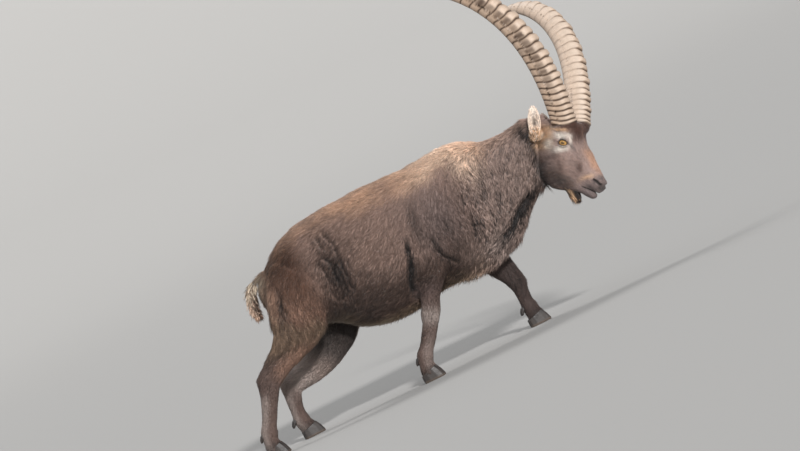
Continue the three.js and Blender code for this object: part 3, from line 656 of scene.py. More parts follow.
def ear_root(side):
    """The muscle and cartilage that an ear stands on."""
    ear = EARS[dict(SIDES)[side]]
    root, tip = (from_head(ear[key]) for key in ("root", "tip"))
    inner = root + 0.35 * (from_head((-60, side * 20, -60)) - root)
    rows = [
        (*inner, 26, 22),
        (*(root - 0.08 * (tip - root)), 18, 16),
        (*(root + 0.12 * (tip - root)), 14, 12),
        (*(root + 0.22 * (tip - root)), 9, 8),
    ]
    return limb(rows, 0, 24, 20)


# Forms of the head, in the muzzle's frame: middle, reach and how far out
HEAD_SWELLS = [
    ((64, 62, -22), (30, 14, 12), 4.5),  # brow
    ((6, 68, -20), (34, 26, 26), 9.0),  # root of the horn, outside
    ((34, 44, 16), (26, 26, 16), 6.0),  # and in front
    ((112, 58, -46), (15, 18, 13), -3.5),  # hollow before the eye
    ((92, 66, -84), (40, 14, 12), 3.0),  # cheekbone
    ((20, 68, -62), (20, 16, 24), -4.0),  # temple
    ((118, 56, -128), (36, 20, 36), 4.5),  # cheek muscle
    ((98, 46, -176), (26, 20, 16), 2.5),  # angle of the jaw
    ((184, 40, -106), (24, 18, 28), -4.0),  # hollow behind the mouth
    ((190, 24, -16), (60, 9, 9), 2.0),  # edge of the nose bone
    ((160, 0, -2), (70, 10, 14), -1.0),
    ((268, 30, -46), (15, 12, 14), 3.0),  # wing of the nostril
    ((284, 10, -50), (10, 22, 12), 1.0),
    ((262, 30, -70), (20, 14, 10), 2.5),  # upper lip
    ((280, 16, -94), (18, 16, 7), 2.0),  # lower lip
    ((262, 0, -116), (16, 18, 10), 2.0),  # chin
    ((30, 24, 34), (26, 18, 14), 2.0),
]
MOUTH_LINE = [(232, -102), (243, -96), (256, -89), (270, -82), (284, -76), (300, -69)]
NOSTRIL_LINE = [(251, -45), (261, -42), (271, -41), (280, -42)]


def muzzle_lines(local):
    """Distances to the mouth and to the nostrils, and the share along the nostrils' line."""
    mouth, _ = stroke(local[:, [0, 2]], MOUTH_LINE)
    return mouth, *stroke(local[:, [0, 2]], NOSTRIL_LINE)


def almond(across, up):
    """Below 1 inside the opening of the lids, for places in millimetres on the eye."""
    up = up + 0.06 * across
    arch = np.where(up > 0, 9.2, 7.8) * np.clip(1 - (across / LID_HALF) ** 2, 0, 1) ** 0.7
    return np.where(np.abs(across) < LID_HALF, np.abs(up) / np.maximum(arch, 0.05), 9.0)


def lidded(points):
    """Moves the head's points so that lids lie on each eyeball and open in an almond."""
    for side, _ in SIDES:
        across, up, out = on_eye(points, side)
        reach = np.hypot(across, up)
        opening = almond(across, up)
        rim = bell(opening - 1.2, 0.2)
        crease = bell(up - 14.5 + 0.012 * across**2, 1.6)
        lid = EYE_RADIUS + 1.6 + 1.1 * rim - 1.5 * crease
        dome = np.sqrt(np.maximum(lid**2 - reach**2, 0))
        sunk = np.sqrt(np.maximum((EYE_RADIUS - 3) ** 2 - reach**2, 16))
        wanted = np.where(opening < 1, sunk, out + (dome - out) * ramp(-reach, -22, -14))
        near = (out > -10) & (reach < 24)
        points = points + np.where(near, wanted - out, 0)[:, None] * eye_axes(side)[3]
    return points


def featured(points, normals):
    """The head's points with its muscles, lips, nostrils and lids."""
    local = to_muzzle(points)
    x, y, z = local.T
    both = one_sided(local)
    out = np.zeros(len(points))
    for middle, reach, swell in HEAD_SWELLS:
        out += swell * bump(both, middle, reach)
    mouth, nostril, along = muzzle_lines(local)
    muzzle = ramp(x, 228, 238)
    out += muzzle * (-4.5 * bell(mouth, 1.5) + 1.4 * bell(mouth - 4, 2.4))
    open_width = 1.7 + 4.0 * np.sin(np.pi * np.clip(along * 0.65 + 0.05, 0, 1))
    sided = ramp(both[:, 1], 10, 15)
    out += sided * 1.0 * bell(nostril - open_width - 2.6, 2.2)
    out -= sided * 7.5 * np.exp(-((nostril / open_width) ** 4))
    groove = bell(y, 1.4) * ramp(x, 278, 284)
    out -= 0.3 * groove * ramp(z, -78, -74) * ramp(-z, 48, 54)
    out += 0.5 * (noise(points, 9, 3) - 0.5) + 0.35 * (noise(points, 4, 4) - 0.5)
    return lidded(points + normals * out[:, None])


def finer_near(head):
    """Splits the head's faces round the eyes, the nostrils and the line of the mouth."""
    divide = lambda: bpy.ops.mesh.subdivide(number_cuts=1)
    for reach in (25, 20, 13):
        points = points_of(head)
        chosen = np.zeros(len(points), bool)
        for side, _ in SIDES:
            across, up, out = on_eye(points, side)
            chosen |= (np.hypot(across, up) < reach) & (out > 2)
        edit(head, chosen, divide)
    local = to_muzzle(points_of(head))
    mouth, nostril, _ = muzzle_lines(local)
    chosen = (local[:, 0] > 226) & ((mouth < 7) | ((nostril < 9) & (np.abs(local[:, 1]) > 8)))
    edit(head, chosen, divide)


# Folds of the skin seen from the side: line, width, depth, and height of the ridge beside it
FOLDS = [
    ([(519, 671), (545, 610), (547, 538), (545, 477)], 6, 5, 0.8),
    ([(490, 585), (509, 548), (505, 482), (498, 440)], 6, 7, 1.2),
    ([(508, 577), (523, 530), (521, 457), (526, 405)], 5, 6, 1),
    ([(533, 560), (541, 500), (540, 440), (546, 400)], 5, 5, 0.8),
    ([(562, 560), (566, 510), (572, 460)], 4, 3.5, 0.5),
    ([(790, 500), (778, 462), (764, 407), (744, 368), (722, 303)], 10, 13, 2),
    ([(500, 657), (503, 623), (510, 590)], 5, 4, 0.8),
    ([(470, 560), (478, 520), (480, 470)], 5, 4.5, 0.8),
    ([(1314, 466), (1281, 453), (1209, 415), (1150, 367), (1096, 345)], 13, 14, 2),
    ([(1131, 630), (1128, 574), (1123, 510)], 5, 5, 1),
    ([(1115, 556), (1107, 525), (1098, 495)], 5, 5, 1),
    ([(1041, 478), (1032, 440), (1020, 385)], 6, 8, 1.5),
    ([(1060, 472), (1057, 448), (1052, 420)], 5, 6, 1),
    ([(1113, 462), (1104, 425), (1103, 392)], 5, 6, 1),
    ([(872, 470), (879, 401), (903, 366), (930, 336)], 9, 9, 1.5),
    ([(1194, 508), (1188, 476), (1181, 444)], 4.5, 5, 1),
    ([(1160, 560), (1156, 520), (1150, 470)], 4.5, 4.5, 1),
    ([(1076, 560), (1070, 520), (1064, 484)], 4.5, 4.5, 1),
    ([(938, 518), (942, 485), (943, 443)], 5, 4, 0.8),
    ([(1047, 392), (1052, 376), (1056, 358)], 5, 5, 1),
    ([(300, 560), (286, 500), (268, 440), (236, 392)], 14, 4, 0.5),
    ([(860, 640), (850, 560), (830, 470)], 16, 3, 0),
]
NEAR_ONLY = (5, 14)  # the folds of the near elbow and arm
# Forms of the trunk and legs: middle, reach, how far out, on which side (0 for both)
BODY_SWELLS = [
    ((402, 118, 652), (34, 40, 26), 6.0, 0),  # point of the hip
    ((498, 140, 640), (56, 60, 44), -7.0, 0),  # hollow of the flank
    ((800, 130, 404), (30, 40, 34), 7.0, -1),  # elbow
    ((975, 120, 600), (26, 60, 100), 5.0, 0),  # spine of the shoulder blade
    ((1040, 120, 560), (30, 60, 90), -4.0, 0),
    ((1080, 110, 400), (50, 60, 60), 6.0, 0),  # point of the shoulder
    ((955, 0, 742), (110, 40, 30), 5.0, 0),
    ((300, 130, 470), (60, 40, 80), 5.0, -1),
    ((395, 130, 360), (30, 40, 34), 4.0, -1),  # stifle
    ((240, 60, 560), (20, 30, 30), 5.0, 0),
    ((1200, 0, 410), (80, 30, 40), 4.0, 0),
    ((82, 112, 282), (16, 24, 20), 6.0, -1),  # points of the hocks
    ((146, 112, 232), (16, 24, 18), 5.0, 1),
    ((128, 140, 318), (20, 16, 34), -4.0, -1),  # hollows before the heel cords
    ((216, 140, 262), (26, 16, 26), -4.0, 1),
    ((90, 136, 206), (9, 14, 44), -2.5, -1),
    ((776, 123, 234), (14, 26, 22), 3.0, -1),  # knees
    ((1110, 93, 166), (14, 26, 20), 3.0, 1),
    ((812, 150, 372), (30, 16, 40), 4.0, -1),  # forearms
    ((1040, 60, 330), (30, 18, 40), 4.0, 1),
    ((55, 110, 130), (40, 40, 60), 4.0, -1),  # cannons
    ((700, 128, 150), (40, 40, 60), 3.0, -1),
    ((160, 124, 120), (40, 40, 50), 2.5, 1),
]


def fold_depth(points):
    """How deep the folds of both sides cut at each point, and how far their edges swell."""
    cut = np.zeros(len(points))
    swell = np.zeros(len(points))
    flat = points[:, [0, 2]] + 9 * (noise(points, 16, 33) - 0.5)[:, None]
    near = points[:, 1] < 0
    for index, (line, width, depth, ridge) in enumerate(FOLDS):
        shifted = flat if index in NEAR_ONLY else flat + 5 * (index % 3 - 1) * (~near)[:, None]
        distance, along = stroke(shifted, line)
        ends = np.sin(np.pi * np.clip(along, 0.02, 0.98)) ** 0.6
        present = np.where(near, 1.0, 0.0 if index in NEAR_ONLY else 0.8)
        cut += present * depth * ends * bell(distance, width)
        swell += present * ridge * ends * bell(distance - 2 * width, width)
    broken = ramp(points[:, 2], 290, 320) * (0.6 + 0.9 * noise(points, 12, 34))
    return cut * broken, 0.4 * swell * broken


def muscled(points, normals):
    """The body's points with its muscles, folds and the unevenness of the coat."""
    out = np.zeros(len(points))
    both = one_sided(points)
    for middle, reach, swell, side in BODY_SWELLS:
        here = (points[:, 1] * side > 0) | (side == 0)
        out += swell * bump(both, middle, reach) * here
    cut, swell = fold_depth(points)
    out += swell - cut
    lumps = 3.2 * (noise(points, 34, 1) - 0.5) + 1.6 * (noise(points, 15, 2) - 0.5)
    lumps -= 6.0 * clefts(points, lie(points, normals))
    return points + normals * (out + lumps * ramp(points[:, 2], 200, 330))[:, None]


def clefts(points, along):
    """Partings between the locks, deepest on the neck, the chest and the fold of the flank."""
    flat = points[:, [0, 2]]
    rough = ramp(points[:, 0], 960, 1060) * fall(points[:, 2], 600, 720)
    rough += bump(flat, (500, 480), (70, 130)) + 0.5 * bump(flat, (300, 480), (90, 110))
    parted = ramp(-streaks(points, along, 7.0, 21), -0.42, -0.14)
    return parted * np.clip(0.14 + rough, 0, 1) * (1 - head_share(points))


def parted(colours, points, along):
    """Colours with painted shade laid over the partings between the locks."""
    return layered(colours, [(look("coat").fold, 0.6 * clefts(points, along))])


def head_share(points):
    """1 on the head, 0 on the neck."""
    away = points - np.array([1352.0, -45.0, 575.0])
    return ramp(away @ unit(np.array([0.93, -0.33, -0.16])), -12, 26)


# The lie of the hair
BODY_LIE = [
    (250, 560, -0.6, -0.8), (300, 640, -0.85, -0.5), (400, 700, -0.95, -0.25),
    (550, 725, -1, -0.1), (750, 730, -1, -0.05), (900, 730, -1, -0.1), (1000, 730, -1, -0.2),
    (1100, 715, -0.9, -0.4), (1200, 690, -0.8, -0.5), (1320, 690, -0.7, -0.6),
    (300, 540, -0.45, -0.9), (400, 560, -0.6, -0.8), (500, 600, -0.85, -0.5),
    (600, 600, -0.9, -0.45), (700, 620, -0.8, -0.6), (800, 600, -0.6, -0.8),
    (900, 600, -0.4, -0.9), (1000, 600, -0.2, -0.97), (1100, 600, 0.05, -1),
    (1200, 600, -0.15, -0.98), (1290, 600, -0.35, -0.93), (330, 430, -0.05, -1),
    (430, 430, -0.3, -0.95), (520, 450, -0.5, -0.86), (600, 430, -0.85, -0.5),
    (700, 430, -0.8, -0.6), (760, 420, -0.6, -0.8), (850, 450, -0.15, -1),
    (950, 450, -0.02, -1), (1050, 450, 0.1, -1), (1150, 480, -0.25, -0.95),
    (1230, 480, -0.5, -0.86), (500, 300, -0.9, -0.4), (650, 270, -1, 0),
    (800, 290, -1, -0.05), (950, 280, -0.9, -0.3), (1050, 300, -0.8, -0.6),
    (1150, 360, -0.7, -0.7), (1250, 430, -0.75, -0.65),
]
# The same on the face, in the muzzle's frame
FACE_LIE = [
    (280, -40, -1, 0.15), (240, -30, -1, 0.1), (180, -10, -1, 0.05), (110, 0, -1, 0.3),
    (60, 20, -1, 0.3), (240, -80, -1, -0.1), (200, -80, -0.9, -0.3), (150, -70, -0.9, -0.3),
    (110, -40, -0.9, 0.3), (80, -90, -0.8, -0.5), (40, -50, -1, 0.1), (120, -130, -0.8, -0.6),
    (180, -140, -0.8, -0.5), (250, -105, -0.8, -0.5), (90, -180, -0.5, -0.85),
    (0, -100, 0.25, -0.97), (-40, -60, 0.1, -1), (30, -150, 0.3, -0.95),
]


def lie_between(flat, anchors):
    """A direction in the side view from the nearest of some anchors."""
    table = np.asarray(anchors, float)
    gap = ((flat[:, None, :] - table[None, :, :2]) ** 2).sum(axis=2)
    weight = 1 / (gap + 400) ** 1.5
    return (weight[:, :, None] * table[None, :, 2:]).sum(axis=1)


def on_legs(points):
    """The nearest leg to each point, the share down it, how close in radii, its run, and 1
    where the coat is the leg's, 0 on the trunk."""
    found = []
    for rows in LEGS.values():
        t = np.linspace(0, 1, 70)
        values = between(rows, t)
        run = unit(np.gradient(values[:, :3], axis=0))
        gap = np.linalg.norm(points[:, None] - values[None, :, :3], axis=2)
        gap /= values[None, :, 3:].max(axis=2)
        best = gap.argmin(axis=1)
        found.append((gap.min(axis=1), t[best], run[best]))
    each = [np.stack(rows) for rows in zip(*found)]
    leg = each[0].argmin(axis=0)
    close, share, run = (rows[leg, np.arange(len(points))] for rows in each)
    here = fall(points[:, 2], 300, 380) * fall(close, 1.25, 1.6) * ramp(share, 0.2, 0.3)
    return leg, share, close, run, here


def lie(points, normals):
    """The direction in which the hair lies at each point of the skin."""
    head = head_share(points)[:, None]
    body = lie_between(points[:, [0, 2]], BODY_LIE)
    along = np.stack([body[:, 0], np.zeros(len(points)), body[:, 1]], axis=1)
    outward = points[:, 1:2] * (0, 1, 0)
    along = unit(along) + 0.0012 * outward
    local = to_muzzle(points)
    face = lie_between(local[:, [0, 2]], FACE_LIE)
    up = unit(np.stack([face[:, 0], np.zeros(len(points)), face[:, 1]], axis=1)) @ MUZZLE_TURN.T
    _, _, _, run, leg = on_legs(points)
    leg = leg[:, None]
    down = unit(run + (-0.25, 0, 0))
    tail = tail_share(points)[:, None]
    whole = along * (1 - leg) + down * leg
    whole = whole * (1 - head) + up * head
    whole = whole * (1 - tail) + unit(np.array([-0.35, 0, -1.0])) * tail
    return square_to(whole, normals)


def tail_share(points):
    return fall(points[:, 0], 216, 230) * ramp(points[:, 2], 430, 460)


# Markings, with painted light and shade, the same for skin and coat
def trunk_height(points):
    """0 at the belly line, 1 at the back, by the outlines of trunk and neck."""
    rows = np.array(sorted((x, bottom, top) for x, _, top, bottom, _ in TRUNK[:-1] + NECK[1:]))
    bottom, top = (np.interp(points[:, 0], rows[:, 0], rows[:, k]) for k in (1, 2))
    return (points[:, 2] - bottom) / (top - bottom)


def body_colours(points):
    coat = look("coat")
    x, y, z = points.T
    wander = 0.16 * (noise(points, 70, 5) - 0.5) + 0.08 * (noise(points, 22, 6) - 0.5)
    high = trunk_height(points) + wander
    leg, share, close, _, on_leg = on_legs(points)
    hind = leg >= 2
    cut, _ = fold_depth(points)
    behind = fall(x, 380, 470)
    ahead = ramp(x, 1010, 1120)
    spot = lambda at_x, at_z, long, tall: bump(points[:, [0, 2]], (at_x, at_z), (long, tall))
    middle = middle_run(share, leg)
    rear = ramp(middle[:, 0] - x, -4, 14)
    # The inner faces of the legs, which take painted shadow below
    inner = ramp(np.abs(middle[:, 1]) - np.abs(y), -12, 12) * fall(z, 330, 380)
    return layered(coat.flank, [
        (coat.shoulder, 0.75 * spot(930, 520, 120, 150)),
        (coat.neck, ahead),
        (coat.haunch, 0.95 * behind),
        # Paler hair along the top of the back and over the withers, partly painted sunlight
        (coat.back, 0.9 * ramp(high, 0.8, 1.02) * (1 - 0.75 * ramp(x, 1120, 1240))
         * (0.45 + 0.55 * ramp(x, 300, 440))),
        (coat.withers, 0.85 * ramp(high, 0.8, 0.98) * bell(x - 1010, 110)),
        (coat.withers, 0.55 * spot(1100, 655, 50, 55)),
        # Darker hair of the lower side of trunk and neck, with painted shade
        (coat.shade, 0.95 * fall(high, 0.12, 0.5) * fall(x, 900, 1020) * ramp(x, 350, 440)),
        (coat.shade, 0.25 * fall(high, 0.1, 0.4) * fall(x, 1120, 1300) * ahead),
        (coat.leg_pale_and_highlight, 0.35 * spot(1070, 330, 80, 60)),
        # Painted shade in the fold of the flank
        (coat.shade, 1.0 * spot(515, 480, 56, 120)),
        (coat.fold, 0.3 * spot(505, 500, 36, 90)),
        (coat.shade, 0.5 * spot(318, 610, 60, 50)),
        (coat.rump, 0.55 * spot(262, 500, 34, 90)),
        (coat.thigh, 0.85 * spot(330, 400, 80, 90)),
        # Painted light on the lower rear of the thigh, where it turns under
        (coat.thigh, 0.6 * spot(262, 380, 60, 50)),
        (coat.belly, 0.6 * fall(high, 0.0, 0.12) * fall(x, 940, 1060)),
        # Painted shade under the throat
        (coat.shade, 0.6 * fall(high, 0.0, 0.2) * ramp(x, 1180, 1260)),
        (coat.groin, 0.7 * fall(high, 0.0, 0.14) * fall(np.abs(y), 30, 80)
         * fall(x, 560, 700)),
        (coat.groin, 0.6 * bump(points, (402, 0, 330), (60, 120, 40))),
        (coat.tail_pale, 0.7 * spot(228, 545, 22, 60)),
        (coat.groin, 0.9 * spot(250, 600, 22, 26)),
        (coat.leg, 0.9 * on_leg * (1 - 0.8 * spot(300, 330, 90, 70))),
        (coat.thigh, 0.8 * on_leg * hind * (1 - rear) * fall(share, 0.4, 0.55)),
        # Painted shadow on the inner faces of the far foreleg and of the upper hind legs
        (coat.fold, 0.5 * on_leg * inner * (leg == 1)),
        (coat.fold, 0.95 * inner * hind * fall(share, 0.32, 0.44) * fall(close, 1.2, 1.5)),
        (coat.leg_pale_and_highlight, 0.6 * on_leg * hind * rear * ramp(share, 0.56, 0.62)),
        # Painted highlight on the near knee, and painted sunlight across the far hind shank
        (coat.leg_pale_and_highlight, 0.8 * on_leg * (leg == 0) * bell(share - 0.47, 0.06)),
        (coat.leg_pale_and_highlight, 0.9 * on_leg * (leg == 3) * bell(share - 0.46, 0.11)),
        (coat.leg_pale_and_highlight, 0.25 * on_leg * (leg == 0) * ramp(share, 0.55, 0.65) * (1 - rear)),
        (coat.fold, 0.5 * on_leg * ramp(share, 0.86, 0.93)),
        # Painted shade along the skin's folds, by how deep they cut
        (coat.fold, np.clip(cut / 5, 0, 1)),
    ])


def middle_run(share, leg):
    """Where the middle of a leg is, for a share down it."""
    places = np.stack([between(rows, share)[:, :3] for rows in LEGS.values()])
    return places[leg, np.arange(len(leg))]


# Patches of the face: colour, strength, middle from the near eye, reach, slant in degrees
FACE_PATCHES = [
    ("forehead", 0.95, (52, 36), (24, 34), 0), ("forehead", 0.8, (20, 62), (44, 14), 0),
    ("tan", 0.95, (-66, 36), (26, 24), 0), ("tan", 0.95, (-64, -4), (24, 20), 0),
    ("tan", 0.85, (-9, 44), (24, 7), -6), ("tan", 0.95, (-98, 16), (14, 40), 0),
    ("forehead", 0.6, (-82, 14), (8, 18), 20), ("forehead", 0.5, (-52, 18), (8, 6), 0),
    ("forehead", 0.5, (-14, -76), (11, 32), 24), ("forehead", 0.6, (-42, -52), (20, 8), 10),
    # The second jaw patch, behind the cheek, is dark hair with painted shade
    ("jaw", 0.9, (4, -142), (52, 24), -24), ("jaw", 0.7, (-76, -100), (24, 50), 12),
    ("jaw", 0.5, (-40, -110), (50, 40), -30), ("bridge", 0.5, (84, 14), (12, 34), 0),
    ("bridge", 0.8, (106, -68), (34, 14), -65), ("forehead", 0.75, (58, -90), (11, 22), 0),
    ("tan", 0.6, (84, -125), (26, 8), 18), ("white", 0.92, (-5, 23), (30, 11), -4),
    ("white", 0.92, (-8, -23), (31, 11), 6), ("white", 0.8, (26, 6), (6, 18), 8),
    ("tan", 0.8, (-72, 24), (26, 34), 0), ("white", 0.85, (-54, -4), (16, 18), 0),
    ("white", 0.45, (-70, 34), (16, 8), 40), ("muzzle", 0.7, (36, -20), (5, 18), 20),
]


PATCHES_UNDER_FLECKS = 17
# Dark lines from the corners of an eye: strength, width, and places along the lids and up
EYE_CORNERS = [
    (0.85, 2.0, [(15, -2), (24, -6), (32, -14)]),
    (0.7, 1.8, [(-16, 1), (-26, 3), (-35, 3)]),
]


def face_colours(points):
    """Markings of the face, by distance from the near eye in the photo's plane."""
    face = look("face")
    flat = face_plane(points)
    local = to_muzzle(points)
    x, y, z = local.T
    edge = 7.0 * (noise(points, 6, 7) - 0.5)
    flat = flat + edge[:, None]
    bare = np.zeros(len(points))
    for side, _ in SIDES:
        across, up, out = on_eye(points, side)
        # The dark rim reaches further above the lids: dark skin with painted shade under the upper
        # lid
        rim = np.where(up > 0, 1.75, 1.5)
        front = (out > 0) & (np.hypot(across, up) < LID_REACH)
        bare += fall(almond(across, up), rim - 0.35, rim) * front
        for strength, width, line in EYE_CORNERS:
            corner, _ = stroke(columns(across, up), line)
            bare += strength * bell(corner, width) * (out > -6)
    mouth, nostril, _ = muzzle_lines(local)
    ahead = ramp(x, 226, 240)
    bare += ahead * bell(mouth, 2.2)
    bare += np.exp(-((nostril / 5.0) ** 4)) * ramp(np.abs(y), 9, 14)
    top = ramp(z, -30, -6)
    fleck = noise(points, 5, 31), noise(points, 3, 32)
    nose_end = ramp(x, 236, 262)
    patches = []
    for colour, strength, middle, reach, slant in FACE_PATCHES:
        spun = (flat - middle) @ turn(math.radians(slant), "Z")[:2, :2]
        shape = ((np.abs(spun) / reach) ** 2.6).sum(axis=1)
        patches.append((getattr(face, colour), strength * np.exp(-shape)))
    return layered(face.cheek, [
        (face.forehead, 0.6 * ramp(z, -30, 6) * fall(x, 80, 130)),
        # Painted shadow on the skin round the foot of each horn
        (face.dark, 0.5 * by_horns(points)),
        # Orange-tan along the top of the nose: hair colour with painted sunlight
        (face.bridge, 0.85 * top * ramp(x, 115, 160) * (1 - nose_end)),
        (face.jaw, 0.6 * ramp(-z, 168, 200)),
        *patches[:PATCHES_UNDER_FLECKS],
        (face.forehead, 0.4 * ramp(fleck[0], 0.55, 0.85)),
        (face.bridge, 0.25 * ramp(fleck[1], 0.6, 0.9) * ramp(-flat[:, 1], 20, 40)),
        *patches[PATCHES_UNDER_FLECKS:],
        (face.muzzle, 0.85 * nose_end),
        (face.dark, 0.35 * nose_end * ramp(fleck[0], 0.5, 0.8)),
        (face.muzzle, 0.6 * ramp(x, 212, 240) * ramp(-z, 60, 80)),
        (face.dark, 0.6 * ramp(x, 274, 286) * ramp(z, -66, -50)),
        (face.dark, 0.97 * np.clip(bare, 0, 1)),
    ])


def markings(points):
    """The coat's colour at each point, with its painted light and shade, from the plain measures of
    the animal.
    """
    head = head_share(points)
    x, y, z = points.T
    colours = body_colours(points)
    near = head > 0
    if near.any():
        face = face_colours(points[near])
        share = head[near][:, None]
        colours[near] = colours[near] * (1 - share) + face * share
    tail = tail_share(points) > 0.5
    coat = look("coat")
    under = ramp(x, 186, 200) * fall(z, 560, 590)
    pale = layered(coat.tail_pale, [(coat.tail_dark, 0.85 * under)])
    colours[tail] = pale[tail]
    # Painted shadow of the ear on the near side of the neck
    ear_shadow = bump(points[:, [0, 2]], (1350, 655), (27, 38)) * (y < 0)
    # Painted shade in the seam between cheek and neck
    crease = 4 * head * (1 - head) * fall(z, 630, 680)
    return layered(colours, [
        (look("face").dark, ear_shadow),
        (coat.fold, 0.8 * crease),
    ])


# Materials
def new_material(name, roughness, **sockets):
    material = bpy.data.materials.new(name)
    material.use_nodes = True
    shader = material.node_tree.nodes["Principled BSDF"]
    shader.inputs["Roughness"].default_value = roughness
    for key, value in sockets.items():
        shader.inputs[key.replace("_", " ").title().replace("Ior", "IOR")].default_value = value
    return material, material.node_tree, shader


def feed(tree, socket, value):
    """Links an output to a socket, or sets the socket to a plain value."""
    if hasattr(value, "is_output"):
        tree.links.new(value, socket)
    else:
        socket.default_value = value


def node(tree, kind, *numbered, **inputs):
    """A node with values for its first sockets, in order, and for others by name."""
    made = tree.nodes.new(kind)
    for socket, value in zip(made.inputs, numbered):
        feed(tree, socket, value)
    for key, value in inputs.items():
        feed(tree, made.inputs[key], value)
    return made


def math_node(tree, operation, *values):
    made = node(tree, "ShaderNodeMath", *values)
    made.operation = operation
    return made.outputs[0]


def mix_colour(tree, blend, factor, first, second):
    made = tree.nodes.new("ShaderNodeMix")
    made.data_type = "RGBA"
    made.blend_type = blend
    for number, value in ((0, factor), (6, first), (7, second)):
        feed(tree, made.inputs[number], value)
    return made.outputs[2]


def attribute(tree, name, output="Fac"):
    made = tree.nodes.new("ShaderNodeAttribute")
    made.attribute_name = name
    return made.outputs[output]


def link_marking(tree, shader, shade):
    """The mesh's marking, darkened by a shade, as the base colour."""
    grey = node(tree, "ShaderNodeCombineColor", Red=shade, Green=shade, Blue=shade).outputs[0]
    tinted = mix_colour(tree, "MULTIPLY", 1.0, attribute(tree, "marking", "Color"), grey)
    tree.links.new(tinted, shader.inputs["Base Color"])


def link_relief(tree, shader, strength, distance, height):
    relief = node(tree, "ShaderNodeBump", Strength=strength, Distance=distance, Height=height)
    tree.links.new(relief.outputs["Normal"], shader.inputs["Normal"])


def grain(tree, scale, detail):
    """Noise through the piece, in its own space."""
    place = node(tree, "ShaderNodeTexCoord").outputs["Object"]
    made = node(tree, "ShaderNodeTexNoise", Vector=place, Scale=scale, Detail=detail)
    return made.outputs["Fac"]


def fur_tint_group():
    """Darker roots and paler tips as painted shade deep in the coat, and hair by hair change of a
    marking's colour.
    """
    name = "Fur Tint"
    if name in bpy.data.node_groups:
        return bpy.data.node_groups[name]
    tree = bpy.data.node_groups.new(name, "ShaderNodeTree")
    for label, kind, default in (
        ("Marking", "NodeSocketColor", (0.2, 0.15, 0.1, 1)),
        ("Along", "NodeSocketFloat", 0.5),
        ("Vary", "NodeSocketFloat", 0.5),
        ("Grain Scale", "NodeSocketFloat", 240.0),
    ):
        socket = tree.interface.new_socket(label, in_out="INPUT", socket_type=kind)
        socket.default_value = default
    tree.interface.new_socket("Colour", in_out="OUTPUT", socket_type="NodeSocketColor")
    tree.interface.new_socket("Height", in_out="OUTPUT", socket_type="NodeSocketFloat")
    start = tree.nodes.new("NodeGroupInput")
    end = tree.nodes.new("NodeGroupOutput")
    hairs = grain(tree, start.outputs["Grain Scale"], 2.0)
    light = math_node(tree, "MULTIPLY_ADD", start.outputs["Along"], 0.95, 0.5)
    change = math_node(tree, "MULTIPLY_ADD", start.outputs["Vary"], 1.3, 0.33)
    speck = math_node(tree, "MULTIPLY_ADD", hairs, 0.5, 0.75)
    factor = math_node(tree, "MULTIPLY", math_node(tree, "MULTIPLY", light, change), speck)
    grey = node(tree, "ShaderNodeCombineColor", Red=factor, Green=factor, Blue=factor).outputs[0]
    tinted = mix_colour(tree, "MULTIPLY", 1.0, start.outputs["Marking"], grey)
    tree.links.new(tinted, end.inputs["Colour"])
    tree.links.new(hairs, end.inputs["Height"])
    return tree


def fur_material(name, bumpy):
    """Fur over its markings: plain on tufts, with a grain of short hair on the skin."""
    material, tree, shader = new_material(name, 0.72, sheen_weight=0.12, sheen_roughness=0.5)
    shader.inputs["Specular IOR Level"].default_value = 0.32
    fur = tree.nodes.new("ShaderNodeGroup")
    fur.node_tree = fur_tint_group()
    tree.links.new(attribute(tree, "marking", "Color"), fur.inputs["Marking"])
    tree.links.new(attribute(tree, "along"), fur.inputs["Along"])
    tree.links.new(attribute(tree, "vary"), fur.inputs["Vary"])
    tree.links.new(fur.outputs["Colour"], shader.inputs["Base Color"])
    if bumpy:
        link_relief(tree, shader, 0.5, 0.0012, fur.outputs["Height"])
    return material


def dress(made, material):
    """Shading, finish and slot of a finished piece, which rides on the animal."""
    smooth_shaded(made)
    made.data.materials.clear()
    made.data.materials.append(material)
    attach(made, "root")


# Tufts
PATCH_SIZE = 0.003


def tuft_mesh(name, roots, normals, along, length, width, lift, marking, vary, patches, bends=1):
    """Flat tapered tufts of three edges, sunk at the root and curved back to the body."""
    count = len(roots)
    across = unit(np.cross(normals, along))
    stops = np.concatenate([[-0.1], np.linspace(0, 1, bends + 2)[1:]])
    body = stops[:-1]
    widths = np.where(body < 0, 0.6, 1.0 - 0.55 * np.maximum(body, 0) ** 1.6)
    rise = np.sin(lift)
    rows = []
    for stop, share in zip(body, widths):
        out = rise * stop * (1.25 - 0.6 * stop) * length if stop > 0 else -0.5 * width
        middle = roots + along * (length * stop)[:, None] + normals * out[:, None]
        half = (0.5 * width * share)[:, None] * across
        ridge = (0.42 * width * share)[:, None] * normals
        rows += [middle - half, middle + half, middle + ridge]
    tip = roots + along * length[:, None] + normals * (rise * 0.65 * length)[:, None]
    points = np.stack(rows + [tip], axis=1)
    each = points.shape[1]
    walls = []
    for level in range(bends):
        for k in range(3):
            a, b = 3 * level + k, 3 * level + (k + 1) % 3
            walls.append((a, b, b + 3, a + 3))
    top = 3 * bends
    points_to_tip = [(top + k, top + (k + 1) % 3, each - 1) for k in range(3)]
    base = [(0, 2, 1)]
    first = (np.arange(count) * each)[:, None, None]
    faces = [(first + np.array(points_to_tip + base)[None]).reshape(-1, 3)]
    if walls:
        faces.append((first + np.array(walls)[None]).reshape(-1, 4))
    made = add_mesh(name, points.reshape(-1, 3), faces)
    give_values(made, "marking", np.repeat(marking, each, axis=0))
    give_values(made, "vary", np.repeat(vary, each))
    shares = np.concatenate([np.repeat(np.maximum(body, 0), 3), [1.0]])
    give_values(made, "along", np.tile(shares, count))
    lay_patches(made, patches, each, shares)
    return made


